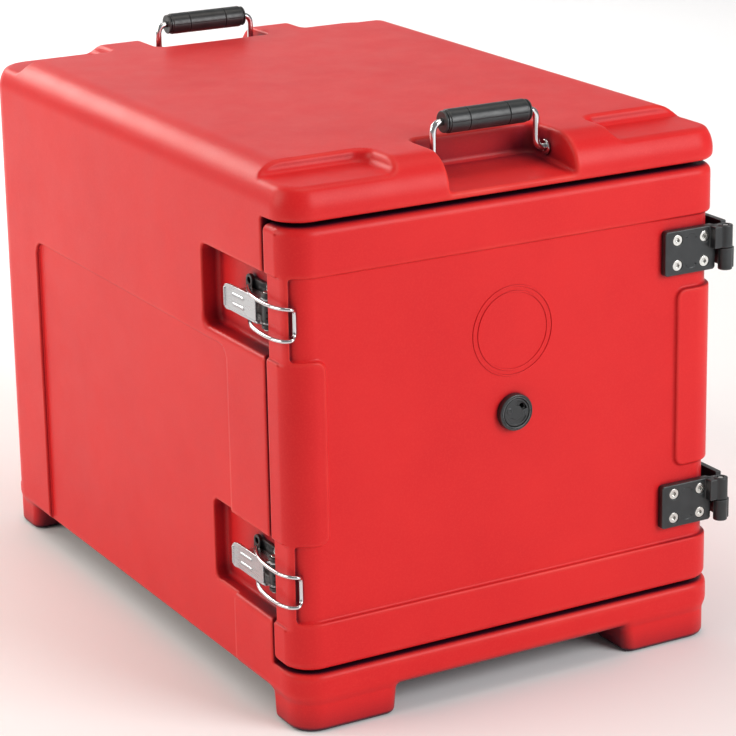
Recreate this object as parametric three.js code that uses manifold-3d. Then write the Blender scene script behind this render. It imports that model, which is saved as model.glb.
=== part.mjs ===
// Insulated front-loading food carrier for gastronorm containers.
// Units are millimetres. +Z is up, the door faces -Y, +X is the hinge side.
// The origin is the middle of the footprint at floor level.
import * as THREE from 'three';
import { mergeVertices } from 'three/addons/utils/BufferGeometryUtils.js';
import Module from 'manifold-3d';

const wasm = await Module();
wasm.setup();

// ---- driving dimensions -------------------------------------------------

const WIDTH = 440;
const DEPTH = 640;
const FRONT = -313.25;
const BACK = FRONT + DEPTH;
const HALF = WIDTH / 2;

const FOOT_HEIGHT = 26;
const TOP = 493;
const WALL = 4;
const GAP = 0.3;

const SIDE_PANEL_START = 118;
const SIDE_PANEL_END = 537;
const SIDE_PANEL_TOP = 321;
const SIDE_PANEL_STEP = 4;

const POCKET_FLOOR = 482;
const POCKET_INNER = 112;
const POCKET_DEPTH = 63;

const BODY_FRONT_RADIUS = 28;
const BODY_BACK_RADIUS = 38;
const BODY_TOP_RADIUS = 32;
const BODY_BOTTOM_RADIUS = 10;

const DOOR_SPACE_BOTTOM = 54;
const DOOR_SPACE_TOP = 453;
const DOOR_SPACE_DEPTH = 46;

const DOOR_LEFT = -HALF;
const DOOR_RIGHT = 216;
const DOOR_BOTTOM = 57;
const DOOR_TOP = 449;
const DOOR_THICKNESS = 43;
const DOOR_LEFT_RADIUS = 28;
const DOOR_RIGHT_RADIUS = 24;
const DOOR_RIM_RADIUS = 8;
const DOOR_PANEL_STEP = 4;
const DOOR_BAND_BOTTOM = 101;
const DOOR_BAND_TOP = 406;
const DOOR_LEFT_BLOCK = [171, 334];
const DOOR_RIGHT_BLOCK = [173, 339];

const CAVITY_HALF_WIDTH = 167.5;
const CAVITY_BOTTOM = 84;
const CAVITY_TOP = 424;
const CAVITY_DEPTH = 540;
const LINER_WALL = 3.5;
const FLANGE_FRONT = 42.8;
const FLANGE_REACH = 19;
const RUNNER_COUNT = 8;
const RUNNER_PITCH = 38;

const LATCH_HEIGHTS = { upper: 368, lower: 132 };
const LATCH_RECESS_DEPTH = 18;
const LATCH_RECESS_BACK = 161;
const LATCH_RECESS_HALF = { upper: 37, lower: 38 };
const LATCH_FLOOR_X = -HALF + LATCH_RECESS_DEPTH;
const LEVER_PIVOT = { x: -211, y: FRONT + 54 };
const LEVER_END = FRONT + 115.5;
const BAIL_PIVOT = { x: -211, y: FRONT + 88 };

const HINGE_HEIGHTS = { upper: 374.5, lower: 136.5 };
const HINGE_HALF_HEIGHT = 20.5;
const HINGE_PIN = { x: 216.5, y: FRONT - 7 };
const HINGE_BARREL_RADIUS = 6.5;

const VENT_HEIGHT = 256;
const EMBLEM_HEIGHT = 329;

const HANDLE_INSET = 48;
const HANDLE_PIVOT_HEIGHT = 475;
const HANDLE_RISE = 35;
const HANDLE_WIRE_RADIUS = 3;
const GRIP_HALF_LENGTH = 43;
const HANDLE_WIRE_HALF_SPAN = 52;
const HANDLE_RECESS_HALF = 63;
const HANDLE_RECESS_DEPTH = 72;
const HANDLE_FLOOR_HEIGHT = 460;
const HANDLE_FLOOR_RISE = 6;

const WIRE_STEP = 5.5;

// ---- materials ----------------------------------------------------------

function material(colour, roughness, metalness) {
  return new THREE.MeshStandardMaterial({ color: colour, roughness, metalness });
}

const RED_POLYETHYLENE = material(0xd63a34, 0.5, 0);
const FOAM = material(0xe8d9a8, 0.95, 0);
const BLACK_PLASTIC = material(0x2b2d2f, 0.55, 0);
const RUBBER = material(0x3a3a3c, 0.85, 0);
const STEEL = material(0xc4c8cb, 0.3, 1);

// ---- solid helpers ------------------------------------------------------

function toSolid(geometry) {
  const bare = geometry.clone();
  bare.deleteAttribute('normal');
  bare.deleteAttribute('uv');
  const merged = mergeVertices(bare, 1e-4);
  const vertProperties = new Float32Array(merged.attributes.position.array);
  const triVerts = new Uint32Array(merged.index.array);
  return new wasm.Manifold(new wasm.Mesh({ numProp: 3, vertProperties, triVerts }));
}

function toGeometry(solid) {
  const mesh = solid.getMesh();
  const geometry = new THREE.BufferGeometry();
  const positions = new THREE.BufferAttribute(new Float32Array(mesh.vertProperties), 3);
  geometry.setAttribute('position', positions);
  geometry.setIndex(new THREE.BufferAttribute(new Uint32Array(mesh.triVerts), 1));
  geometry.computeVertexNormals();
  return geometry;
}

function cut(solid, ...tools) {
  return tools.reduce((rest, tool) => rest.subtract(tool), solid);
}

function join(...solids) {
  return solids.reduce((whole, next) => whole.add(next));
}

// Corner points of a rounded rectangle. The four radii go round from the low corner.
function rectangleRing(u0, u1, v0, v1, radii, steps) {
  const signs = [[-1, -1], [1, -1], [1, 1], [-1, 1]];
  const ring = [];
  signs.forEach(([su, sv], corner) => {
    const radius = radii[corner];
    const centreU = su < 0 ? u0 + radius : u1 - radius;
    const centreV = sv < 0 ? v0 + radius : v1 - radius;
    const start = Math.PI + (corner * Math.PI) / 2;
    for (let i = 0; i <= steps; i += 1) {
      const angle = start + ((Math.PI / 2) * i) / steps;
      ring.push([centreU + radius * Math.cos(angle), centreV + radius * Math.sin(angle)]);
    }
  });
  return ring;
}

// Distance of each level from the end of a rounded rim and how far it steps in.
function rimLevels(radius, steps) {
  if (radius === 0) {
    return [{ along: 0, inset: 0 }];
  }
  const levels = [];
  for (let i = 0; i <= steps; i += 1) {
    const angle = ((Math.PI / 2) * i) / steps;
    levels.push({
      along: radius * (1 - Math.sin(angle)),
      inset: radius * (1 - Math.cos(angle)),
    });
  }
  return levels;
}

const AXES = {
  x: ([u, v], w) => [w, u, v],
  y: ([u, v], w) => [u, w, v],
  z: ([u, v], w) => [u, v, w],
};

// A block drawn as rounded rectangles along an axis, with rounded rims at both ends.
function roundedBlock(options) {
  const { axis = 'z', u, v, w, radii = [1, 1, 1, 1], lowRim = 0, highRim = 0 } = options;
  const { steps = 3 } = options;
  const lows = rimLevels(lowRim, steps).reverse();
  const highs = rimLevels(highRim, steps);
  const levels = [
    ...lows.map(({ along, inset }) => ({ at: w[0] + along, inset })),
    ...highs.map(({ along, inset }) => ({ at: w[1] - along, inset })),
  ];
  levels.sort((a, b) => a.at - b.at);
  const positions = [];
  for (const { at, inset } of levels) {
    const shrunk = radii.map((radius) => Math.max(radius - inset, 0.4));
    const ring = rectangleRing(
      u[0] + inset, u[1] - inset, v[0] + inset, v[1] - inset, shrunk, steps,
    );
    ring.forEach((point) => positions.push(...AXES[axis](point, at)));
  }
  const count = 4 * (steps + 1);
  const triangles = [];
  for (let level = 0; level < levels.length - 1; level += 1) {
    for (let i = 0; i < count; i += 1) {
      const a = level * count + i;
      const b = level * count + ((i + 1) % count);
      triangles.push(a, b, b + count, a, b + count, a + count);
    }
  }
  const last = (levels.length - 1) * count;
  for (let i = 1; i < count - 1; i += 1) {
    triangles.push(0, i + 1, i, last, last + i, last + i + 1);
  }
  if (axis === 'y') {
    triangles.reverse();
  }
  const geometry = new THREE.BufferGeometry();
  geometry.setAttribute('position', new THREE.Float32BufferAttribute(positions, 3));
  geometry.setIndex(triangles);
  return toSolid(geometry);
}

function box(x0, x1, y0, y1, z0, z1) {
  const geometry = new THREE.BoxGeometry(x1 - x0, y1 - y0, z1 - z0);
  geometry.translate((x0 + x1) / 2, (y0 + y1) / 2, (z0 + z1) / 2);
  return toSolid(geometry);
}

// A turned solid. The profile is a list of [radius, distance along the axis].
function turned(profile, axis, centre, segments = 16) {
  const points = profile.map(([radius, along]) => new THREE.Vector2(radius, along));
  if (THREE.ShapeUtils.area(points) < 0) {
    points.reverse();
  }
  const geometry = new THREE.LatheGeometry(points, segments);
  if (axis === 'z') {
    geometry.rotateX(Math.PI / 2);
  }
  if (axis === 'x') {
    geometry.rotateZ(-Math.PI / 2);
  }
  geometry.translate(...centre);
  return toSolid(geometry);
}

function rod(radius, from, to, axis, centre, segments = 16) {
  return turned([[0, from], [radius, from], [radius, to], [0, to]], axis, centre, segments);
}

// A round wire swept along a path of straight runs with rounded bends.
function wire(points, bend, radius, sides) {
  const path = new THREE.CurvePath();
  const corners = points.map((point) => new THREE.Vector3(...point));
  let start = corners[0];
  for (let i = 1; i < corners.length - 1; i += 1) {
    const before = corners[i - 1].clone().sub(corners[i]);
    const after = corners[i + 1].clone().sub(corners[i]);
    const reach = Math.min(bend, before.length() / 2, after.length() / 2);
    const entry = corners[i].clone().add(before.setLength(reach));
    const exit = corners[i].clone().add(after.setLength(reach));
    path.add(new THREE.LineCurve3(start, entry));
    path.add(new THREE.QuadraticBezierCurve3(entry, corners[i], exit));
    start = exit;
  }
  path.add(new THREE.LineCurve3(start, corners[corners.length - 1]));
  const shape = new THREE.Shape();
  for (let i = 0; i < sides; i += 1) {
    const angle = (2 * Math.PI * i) / sides;
    const corner = [radius * Math.cos(angle), radius * Math.sin(angle)];
    if (i === 0) {
      shape.moveTo(...corner);
    } else {
      shape.lineTo(...corner);
    }
  }
  const length = path.getLength();
  const geometry = new THREE.ExtrudeGeometry(shape, {
    steps: Math.ceil(length / WIRE_STEP),
    extrudePath: path,
    bevelEnabled: false,
  });
  return toSolid(geometry);
}

// ---- spaces cut into the body -------------------------------------------
// Each takes a margin, so that the same space can be cut from the skin and,
// grown by the wall, kept clear of the foam.

function stackingPockets(margin) {
  const pockets = [];
  for (const side of [-1, 1]) {
    for (const end of ['front', 'back']) {
      const inner = side * (POCKET_INNER - margin);
      const outer = side * (HALF + 20);
      const y = end === 'front'
        ? [FRONT - 20, FRONT + POCKET_DEPTH + margin]
        : [BACK - POCKET_DEPTH - margin, BACK + 20];
      pockets.push(roundedBlock({
        u: [Math.min(inner, outer), Math.max(inner, outer)],
        v: y,
        w: [POCKET_FLOOR - margin, TOP + 20],
        radii: [14, 14, 14, 14],
        lowRim: 5,
      }));
    }
  }
  return pockets;
}

function handleRecesses(margin) {
  const slope = Math.atan2(HANDLE_FLOOR_RISE, HANDLE_RECESS_DEPTH);
  const floor = HANDLE_FLOOR_HEIGHT - margin;
  return [-1, 1].map((end) => {
    const reach = HANDLE_RECESS_DEPTH + margin;
    const block = roundedBlock({
      u: [-HANDLE_RECESS_HALF - margin, HANDLE_RECESS_HALF + margin],
      v: end < 0 ? [-30, reach] : [-reach, 30],
      w: [0, 90],
      radii: [10, 10, 10, 10],
      lowRim: 3.5,
    });
    return block.rotate([-end * (slope * 180) / Math.PI, 0, 0])
      .translate([0, end < 0 ? FRONT : BACK, floor]);
  });
}

function latchRecesses(margin) {
  return ['upper', 'lower'].map((name) => {
    const centre = LATCH_HEIGHTS[name];
    const half = LATCH_RECESS_HALF[name] + margin;
    return roundedBlock({
      axis: 'x',
      u: [FRONT - 20, FRONT + LATCH_RECESS_BACK + margin],
      v: [centre - half, centre + half],
      w: [-HALF - 20, LATCH_FLOOR_X + margin],
      radii: [8, 8, 8, 8],
      highRim: 4,
    });
  });
}

function sidePanels(margin) {
  const depth = SIDE_PANEL_STEP + margin;
  return [-1, 1].map((side) => {
    const outer = side * (HALF + 20);
    const inner = side * (HALF - depth);
    return roundedBlock({
      axis: 'x',
      u: [FRONT + SIDE_PANEL_START - margin, FRONT + SIDE_PANEL_END + margin],
      v: [-20, SIDE_PANEL_TOP + margin],
      w: [Math.min(outer, inner), Math.max(outer, inner)],
      radii: [10, 10, 14, 14],
    });
  });
}

// ---- body ---------------------------------------------------------------

function bodyBlock(inset) {
  const radii = [
    BODY_FRONT_RADIUS, BODY_FRONT_RADIUS, BODY_BACK_RADIUS, BODY_BACK_RADIUS,
  ].map((radius) => radius - inset);
  return roundedBlock({
    u: [-HALF + inset, HALF - inset],
    v: [FRONT + inset, BACK - inset],
    w: [FOOT_HEIGHT + inset, TOP - inset],
    radii,
    lowRim: BODY_BOTTOM_RADIUS - inset,
    highRim: BODY_TOP_RADIUS - inset,
    steps: inset > 0 ? 3 : 5,
  });
}

function feet(inset) {
  const solids = [];
  for (const side of [-1, 1]) {
    for (const end of [-1, 1]) {
      const x = [side * (119 + inset), side * (216 - inset)];
      const edge = end < 0 ? FRONT + 2 : BACK - 2;
      const y = [edge - end * inset, edge - end * (56 - inset)];
      const outerRadius = 24 - inset;
      const innerRadius = 10 - inset;
      const radii = [[-1, -1], [1, -1], [1, 1], [-1, 1]].map(([su, sv]) => (
        su === side && sv === end ? outerRadius : innerRadius
      ));
      solids.push(roundedBlock({
        u: [Math.min(...x), Math.max(...x)],
        v: [Math.min(...y), Math.max(...y)],
        w: [inset, FOOT_HEIGHT + 15 + 2 * inset],
        radii,
        lowRim: 5 - inset,
      }));
    }
  }
  return solids;
}

function doorSpace(margin) {
  return box(
    -HALF - 20, HALF + 20,
    FRONT - 20, FRONT + DOOR_SPACE_DEPTH + margin,
    DOOR_SPACE_BOTTOM - margin, DOOR_SPACE_TOP + margin,
  );
}

function handleSockets() {
  return handlePositions().flatMap(({ y }) => [-1, 1].map((side) => rod(
    3.4, -9, 9, 'x', [side * HANDLE_RECESS_HALF, y, HANDLE_PIVOT_HEIGHT],
  )));
}

// The space between skin and liner that the foam fills.
function foamSpace(inset) {
  const space = cut(
    join(bodyBlock(inset)),
    doorSpace(inset),
    ...stackingPockets(inset),
    ...handleRecesses(inset),
    ...latchRecesses(inset),
    ...sidePanels(inset),
  );
  const pads = [-1, 1].flatMap((side) => handlePositions().map(({ y }) => box(
    Math.min(side * 61, side * 81), Math.max(side * 61, side * 81),
    y - 12, y + 12, HANDLE_PIVOT_HEIGHT - 12, TOP,
  )));
  return cut(space, ...pads);
}

function linerBlock(margin) {
  return roundedBlock({
    axis: 'y',
    u: [-CAVITY_HALF_WIDTH - LINER_WALL - margin, CAVITY_HALF_WIDTH + LINER_WALL + margin],
    v: [CAVITY_BOTTOM - LINER_WALL - margin, CAVITY_TOP + LINER_WALL + margin],
    w: [FRONT + 30, FRONT + FLANGE_FRONT + CAVITY_DEPTH + LINER_WALL + margin],
    radii: [12, 12, 12, 12],
    highRim: 10,
  });
}

function bodyOuterShell() {
  const skin = cut(
    join(bodyBlock(0), ...feet(0)),
    doorSpace(0),
    ...stackingPockets(0),
    ...handleRecesses(0),
    ...latchRecesses(0),
    ...sidePanels(0),
    ...handleSockets(),
  );
  const screwHoles = [
    ...latchScrewCentres().map(([, y, z]) => rod(1.9, -8, 8, 'x', [LATCH_FLOOR_X, y, z], 8)),
    ...bodyHingeScrewCentres().map(([, y, z]) => rod(2.7, -8, 8, 'x', [HALF, y, z], 8)),
  ];
  return cut(skin, foamSpace(WALL), linerBlock(GAP), ...screwHoles);
}

function bodyFoamCore() {
  return cut(foamSpace(WALL + GAP), linerBlock(GAP));
}

function bodyLiner() {
  const flange = roundedBlock({
    axis: 'y',
    u: [-CAVITY_HALF_WIDTH - 27, CAVITY_HALF_WIDTH + 27],
    v: [CAVITY_BOTTOM - FLANGE_REACH, CAVITY_TOP + FLANGE_REACH - 4],
    w: [FRONT + FLANGE_FRONT, FRONT + DOOR_SPACE_DEPTH - GAP],
    radii: [14, 14, 14, 14],
  });
  const front = box(-HALF, HALF, FRONT, FRONT + FLANGE_FRONT, 0, TOP);
  const tub = cut(linerBlock(0), front);
  const cavity = roundedBlock({
    axis: 'y',
    u: [-CAVITY_HALF_WIDTH, CAVITY_HALF_WIDTH],
    v: [CAVITY_BOTTOM, CAVITY_TOP],
    w: [FRONT + 20, FRONT + FLANGE_FRONT + CAVITY_DEPTH],
    radii: [9, 9, 9, 9],
    highRim: 7,
  });
  const runners = [];
  for (let i = 0; i < RUNNER_COUNT; i += 1) {
    const z = CAVITY_BOTTOM + 24 + i * RUNNER_PITCH;
    for (const side of [-1, 1]) {
      const wall = side * (CAVITY_HALF_WIDTH + 1);
      const tip = side * (CAVITY_HALF_WIDTH - 7);
      runners.push(roundedBlock({
        axis: 'y',
        u: [Math.min(wall, tip), Math.max(wall, tip)],
        v: [z, z + 9],
        w: [FRONT + 62, FRONT + 570],
        radii: [2, 2, 2, 2],
        steps: 2,
      }));
    }
  }
  return join(cut(join(tub, flange), cavity), ...runners);
}

// ---- door ---------------------------------------------------------------

function doorBlock(inset) {
  return roundedBlock({
    u: [DOOR_LEFT + inset, DOOR_RIGHT - inset],
    v: [FRONT + inset, FRONT + DOOR_THICKNESS],
    w: [DOOR_BOTTOM + inset, DOOR_TOP - inset],
    radii: [DOOR_LEFT_RADIUS - inset, DOOR_RIGHT_RADIUS - inset, 3, 3],
    lowRim: DOOR_RIM_RADIUS - inset,
    highRim: DOOR_RIM_RADIUS - inset,
    steps: 5,
  });
}

// The raised blocks that stay at full thickness on the lowered front panel.
function doorRaisedBlocks() {
  const left = roundedBlock({
    axis: 'y',
    u: [-HALF - 10, -185],
    v: DOOR_LEFT_BLOCK,
    w: [FRONT - 30, FRONT + 60],
    radii: [10, 10, 10, 10],
  });
  const right = roundedBlock({
    axis: 'y',
    u: [171, HALF + 10],
    v: DOOR_RIGHT_BLOCK,
    w: [FRONT - 30, FRONT + 60],
    radii: [10, 10, 10, 10],
  });
  return [left, right];
}

// The shallow step that lowers the door panel between its bands and blocks.
function doorPanelStep(margin) {
  const slab = roundedBlock({
    axis: 'y',
    u: [-213, HALF + 20],
    v: [DOOR_BAND_BOTTOM, DOOR_BAND_TOP],
    w: [FRONT - 20, FRONT + 30],
    radii: [4, 4, 4, 4],
  });
  return cut(slab, doorBlock(DOOR_PANEL_STEP + margin), ...doorRaisedBlocks());
}

function doorLatchNotches() {
  return ['upper', 'lower'].map((name) => {
    const centre = LATCH_HEIGHTS[name];
    const half = LATCH_RECESS_HALF[name];
    return roundedBlock({
      axis: 'x',
      u: [FRONT - 20, FRONT + 70],
      v: [centre - half, centre + half],
      w: [-HALF - 20, -217],
      radii: [6, 6, 6, 6],
    });
  });
}

function ventBore(radius) {
  return rod(radius, -20, 70, 'y', [0, FRONT, VENT_HEIGHT], 24);
}

function emblemRings() {
  const face = FRONT + DOOR_PANEL_STEP;
  return [40, 35].map((radius) => {
    const outer = rod(radius + 0.6, -0.7, 2, 'y', [0, face, EMBLEM_HEIGHT], 32);
    const inner = rod(radius - 0.6, -2, 3, 'y', [0, face, EMBLEM_HEIGHT], 32);
    return cut(outer, inner);
  });
}

function doorInside(inset) {
  const radius = 12;
  return roundedBlock({
    u: [-212 + inset, 208 - inset],
    v: [FRONT + DOOR_PANEL_STEP + WALL + inset, FRONT + DOOR_THICKNESS + 5],
    w: [DOOR_BOTTOM + 6 + inset, DOOR_TOP - 6 - inset],
    radii: [DOOR_LEFT_RADIUS, DOOR_RIGHT_RADIUS, radius, radius],
  });
}

function doorOuterShell() {
  const skin = cut(doorBlock(0), doorPanelStep(0), ...doorLatchNotches(), doorInside(0));
  const holes = doorHingeScrewCentres().map(([x, , z]) => rod(
    2.7, -4, 20, 'y', [x, FRONT, z], 8,
  ));
  return cut(join(skin, ...emblemRings()), ventBore(12.6), ...holes);
}

const GASKET_BOTTOM = 70;
const GASKET_TOP = 434;
const PANEL_FRONT = 34.8;
const PANEL_BACK = 38;
const PLUG_BACK = 50;

function doorPlug(inset) {
  return roundedBlock({
    axis: 'y',
    u: [-160 + inset, 160 - inset],
    v: [CAVITY_BOTTOM + 8 + inset, CAVITY_TOP - 8 - inset],
    w: [FRONT + PANEL_FRONT - 2, FRONT + PLUG_BACK - inset],
    radii: [12, 12, 12, 12],
    highRim: 6,
  });
}

function doorPlate(inset, from, to) {
  return cut(
    doorInside(inset),
    box(-HALF, HALF, FRONT - 10, FRONT + from, 0, TOP),
    box(-HALF, HALF, FRONT + to, FRONT + 80, 0, TOP),
  );
}

function doorInnerPanel() {
  const plate = join(doorPlate(GAP, PANEL_FRONT, PANEL_BACK), doorPlug(0));
  const hollow = cut(doorPlug(3), box(-HALF, HALF, FRONT, FRONT + 30, 0, TOP));
  const front = box(-HALF, HALF, FRONT, FRONT + PANEL_FRONT, 0, TOP);
  return cut(plate, hollow, front, ventBore(12.6));
}

function doorFoamCore() {
  const slab = doorPlate(GAP, 0, PANEL_FRONT - GAP);
  const filling = cut(
    doorPlug(3 + GAP),
    box(-HALF, HALF, FRONT, FRONT + PANEL_FRONT - 2 * GAP, 0, TOP),
  );
  return cut(join(slab, filling), ventBore(12.9));
}

function doorGasket() {
  const ring = (inset, y0, y1) => roundedBlock({
    axis: 'y',
    u: [-188 + inset, 188 - inset],
    v: [GASKET_BOTTOM + inset, GASKET_TOP - inset],
    w: [FRONT + y0, FRONT + y1],
    radii: [18, 18, 18, 18].map((radius) => radius - inset),
    highRim: 1.5,
    steps: 4,
  });
  return cut(ring(0, PANEL_BACK + GAP, FLANGE_FRONT - GAP), ring(10, 20, 60));
}

// ---- vent ---------------------------------------------------------------

const VENT_PORT = { radius: 2.4, reach: 8, angle: Math.PI / 5 };

function ventPort(from, to) {
  const x = VENT_PORT.reach * Math.cos(VENT_PORT.angle);
  const z = VENT_HEIGHT + VENT_PORT.reach * Math.sin(VENT_PORT.angle);
  return rod(VENT_PORT.radius, from, to, 'y', [x, FRONT, z], 16);
}

function ventHousing() {
  const seat = DOOR_PANEL_STEP - GAP;
  const body = turned([
    [0, 1.5], [13, 1.5], [13, -1.6], [14.6, -2.4], [16, -1.6], [16.5, 0], [16.5, seat],
    [15.2, seat], [15.2, 2.6], [13.4, 2.6], [13.4, seat], [12.2, seat], [12.2, 49.5],
    [10.6, 49.5], [10.6, 4.5], [0, 4.5],
  ], 'y', [0, FRONT, VENT_HEIGHT], 24);
  return cut(body, ventPort(-10, 10));
}

function ventRotaryDisc() {
  const disc = turned([
    [0, 1.2], [12.6, 1.2], [12.6, -1.2], [11.8, -1.9], [0, -1.9],
  ], 'y', [0, FRONT, VENT_HEIGHT], 24);
  const ring = cut(
    rod(10.4, -3, -1.1, 'y', [0, FRONT, VENT_HEIGHT], 24),
    rod(6, -4, 2, 'y', [0, FRONT, VENT_HEIGHT], 24),
    box(-20, 20, FRONT - 10, FRONT + 10, VENT_HEIGHT - 4, VENT_HEIGHT + 20),
  );
  return cut(disc, ring, ventPort(-10, 10));
}

function ventSeal() {
  return cut(
    rod(15, 2.8, DOOR_PANEL_STEP - 0.1, 'y', [0, FRONT, VENT_HEIGHT], 24),
    rod(13.6, 0, 10, 'y', [0, FRONT, VENT_HEIGHT], 24),
  );
}

// ---- hinges -------------------------------------------------------------

function doorHingeScrewCentres() {
  return Object.values(HINGE_HEIGHTS).flatMap((z) => [
    [168, FRONT, z + 11.5], [197, FRONT, z + 11.5],
    [168, FRONT, z - 11.5], [197, FRONT, z - 11.5],
  ]);
}

function bodyHingeScrewCentres() {
  return Object.values(HINGE_HEIGHTS).flatMap((z) => [
    [HALF, FRONT + 73, z + 11.5], [HALF, FRONT + 73, z - 11.5],
  ]);
}

// The door leaf carries the upper half of the barrel.
function hingeDoorLeaf(z) {
  const plate = roundedBlock({
    axis: 'y',
    u: [155, 209],
    v: [z - HINGE_HALF_HEIGHT, z + HINGE_HALF_HEIGHT],
    w: [FRONT - 2.7, FRONT + DOOR_PANEL_STEP - GAP],
    radii: [3, 3, 3, 3],
    lowRim: 1.5,
    steps: 1,
  });
  const neck = box(204, 214, FRONT - 9, FRONT + 2, z + GAP, z + HINGE_HALF_HEIGHT - 1);
  const barrel = rod(
    HINGE_BARREL_RADIUS, GAP, HINGE_HALF_HEIGHT, 'z', [HINGE_PIN.x, HINGE_PIN.y, z],
  );
  const bore = rod(3.3, -40, 40, 'z', [HINGE_PIN.x, HINGE_PIN.y, z]);
  const sockets = doorHingeScrewCentres().filter(([, , at]) => Math.abs(at - z) < 20).map(
    ([x, , at]) => turned([
      [0, -3], [5.4, -3], [5.4, -2.2], [2.8, 0.5], [2.8, 6], [0, 6],
    ], 'y', [x, FRONT, at], 10),
  );
  return cut(join(plate, neck, barrel), bore, ...sockets);
}

// The body leaf carries the lower half of the barrel and runs back along the side.
function hingeBodyLeaf(z) {
  const plate = roundedBlock({
    axis: 'x',
    u: [FRONT - 5, FRONT + 95],
    v: [z - HINGE_HALF_HEIGHT, z + HINGE_HALF_HEIGHT],
    w: [HALF + 0.5, HALF + 6.5],
    radii: [3, 3, 3, 3],
    highRim: 1.5,
    steps: 1,
  });
  const upperRelief = box(
    200, 230, FRONT - 20, FRONT + 6, z - GAP, z + HINGE_HALF_HEIGHT + 5,
  );
  const neck = box(216, 225, FRONT - 9, FRONT - 0.5, z - HINGE_HALF_HEIGHT + 1, z - GAP);
  const barrel = rod(
    HINGE_BARREL_RADIUS, -HINGE_HALF_HEIGHT, -GAP, 'z', [HINGE_PIN.x, HINGE_PIN.y, z],
  );
  const bore = rod(3.3, -40, 40, 'z', [HINGE_PIN.x, HINGE_PIN.y, z]);
  const sockets = bodyHingeScrewCentres().filter(([, , at]) => Math.abs(at - z) < 20).map(
    ([x, y, at]) => turned([
      [0, -4], [2.8, -4], [2.8, 3.4], [5.4, 6.1], [5.4, 8], [0, 8],
    ], 'x', [x, y, at], 10),
  );
  return cut(join(cut(plate, upperRelief), neck, barrel), bore, ...sockets);
}

function hingePin(z) {
  const half = HINGE_HALF_HEIGHT - 0.5;
  return turned([
    [0, -half], [2.4, -half], [3, -half + 0.6], [3, half - 0.6], [2.4, half], [0, half],
  ], 'z', [HINGE_PIN.x, HINGE_PIN.y, z]);
}

// A countersunk screw with a six-sided socket. It points along +Y from its head.
function countersunkScrew(centre, headRadius, shankRadius, length) {
  const head = turned([
    [0, length], [shankRadius, length], [shankRadius, headRadius - shankRadius],
    [headRadius, 0.2], [headRadius - 0.3, 0], [0, 0],
  ], 'y', [0, 0, 0], 10);
  const socket = rod(headRadius * 0.45, -1, 1.6, 'y', [0, 0, 0], 6);
  return cut(head, socket).translate(centre);
}

function doorHingeScrew([x, , z]) {
  return countersunkScrew([x, FRONT - 2.3, z], 5, 2.4, 9.8);
}

function bodyHingeScrew([, y, z]) {
  return countersunkScrew([0, 0, 0], 5, 2.4, 9.8)
    .rotate([0, 0, 90])
    .translate([HALF + 6.1, y, z]);
}

// ---- latches ------------------------------------------------------------

function latchScrewCentres() {
  return Object.values(LATCH_HEIGHTS).flatMap((z) => [
    [LATCH_FLOOR_X, FRONT + 64.5, z + 15.5], [LATCH_FLOOR_X, FRONT + 64.5, z - 15.5],
  ]);
}

// A back plate with a block between the lever's walls and an ear outside each of them.
function latchBase(z) {
  const x = LATCH_FLOOR_X;
  const solids = [box(x - 3.2, x - GAP, FRONT + 48.5, FRONT + 95, z - 19.5, z + 19.5)];
  for (const w of [[z - 15.5, z - 12], [z - 9.1, z + 9.1], [z + 12, z + 15.5]]) {
    solids.push(roundedBlock({
      u: [x - 13.6, x - 3],
      v: [FRONT + 48.5, FRONT + 59.5],
      w,
      radii: [4, 0.5, 0.5, 4],
      steps: 2,
    }));
  }
  const padlockEar = roundedBlock({
    axis: 'x',
    u: [FRONT + 87, FRONT + 99],
    v: [z + 12, z + 22.5],
    w: [x - 6.2, x - 3],
    radii: [0.5, 0.5, 5.5, 5.5],
  });
  solids.push(cut(padlockEar, rod(2.9, -20, 5, 'x', [x, FRONT + 93, z + 17], 12)));
  const pivot = rod(2.5, -30, 30, 'z', [LEVER_PIVOT.x, LEVER_PIVOT.y, z]);
  const screwHoles = latchScrewCentres().filter(([, , at]) => Math.abs(at - z) < 20).map(
    (centre) => turned([
      [0, -6], [3.6, -6], [3.6, -3], [1.9, -1.4], [1.9, 2], [0, 2],
    ], 'x', centre, 10),
  );
  return cut(join(...solids), pivot, ...screwHoles);
}

function latchLever(z) {
  const plate = roundedBlock({
    axis: 'x',
    u: [FRONT + 61, LEVER_END],
    v: [z - 11.5, z + 11.5],
    w: [-219, -216.8],
    radii: [2, 4, 4, 2],
    steps: 1,
  });
  const lip = box(-222, -216.8, LEVER_END - 2, LEVER_END, z - 8, z + 8);
  const solids = [plate, lip];
  for (const side of [-1, 1]) {
    const w = side < 0 ? [z - 11.5, z - 9.5] : [z + 9.5, z + 11.5];
    solids.push(
      roundedBlock({
        u: [-217.5, -206.5], v: [FRONT + 58, FRONT + 93], w, radii: [1, 1, 5, 1], steps: 1,
      }),
      roundedBlock({
        u: [-215.5, -206.5], v: [FRONT + 49.5, FRONT + 62], w, radii: [4.4, 4.4, 1, 1],
      }),
    );
    solids.push(roundedBlock({
      axis: 'x',
      u: [FRONT + 82, FRONT + 103],
      v: [z + side * 5 - 1.5, z + side * 5 + 1.5],
      w: [-220, -218.5],
      radii: [1.2, 1.2, 1.2, 1.2],
      lowRim: 0.6,
      steps: 1,
    }));
  }
  const pivot = rod(2.5, -30, 30, 'z', [LEVER_PIVOT.x, LEVER_PIVOT.y, z]);
  const bailPivot = rod(1.9, -30, 30, 'z', [BAIL_PIVOT.x, BAIL_PIVOT.y, z]);
  return cut(join(...solids), pivot, bailPivot);
}

function latchPivotPin(z) {
  return turned([
    [0, -17], [3.2, -17], [3.2, -15.8], [2.2, -15.8], [2.2, 15.8], [3.2, 15.8],
    [3.2, 17], [0, 17],
  ], 'z', [LEVER_PIVOT.x, LEVER_PIVOT.y, z]);
}

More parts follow.
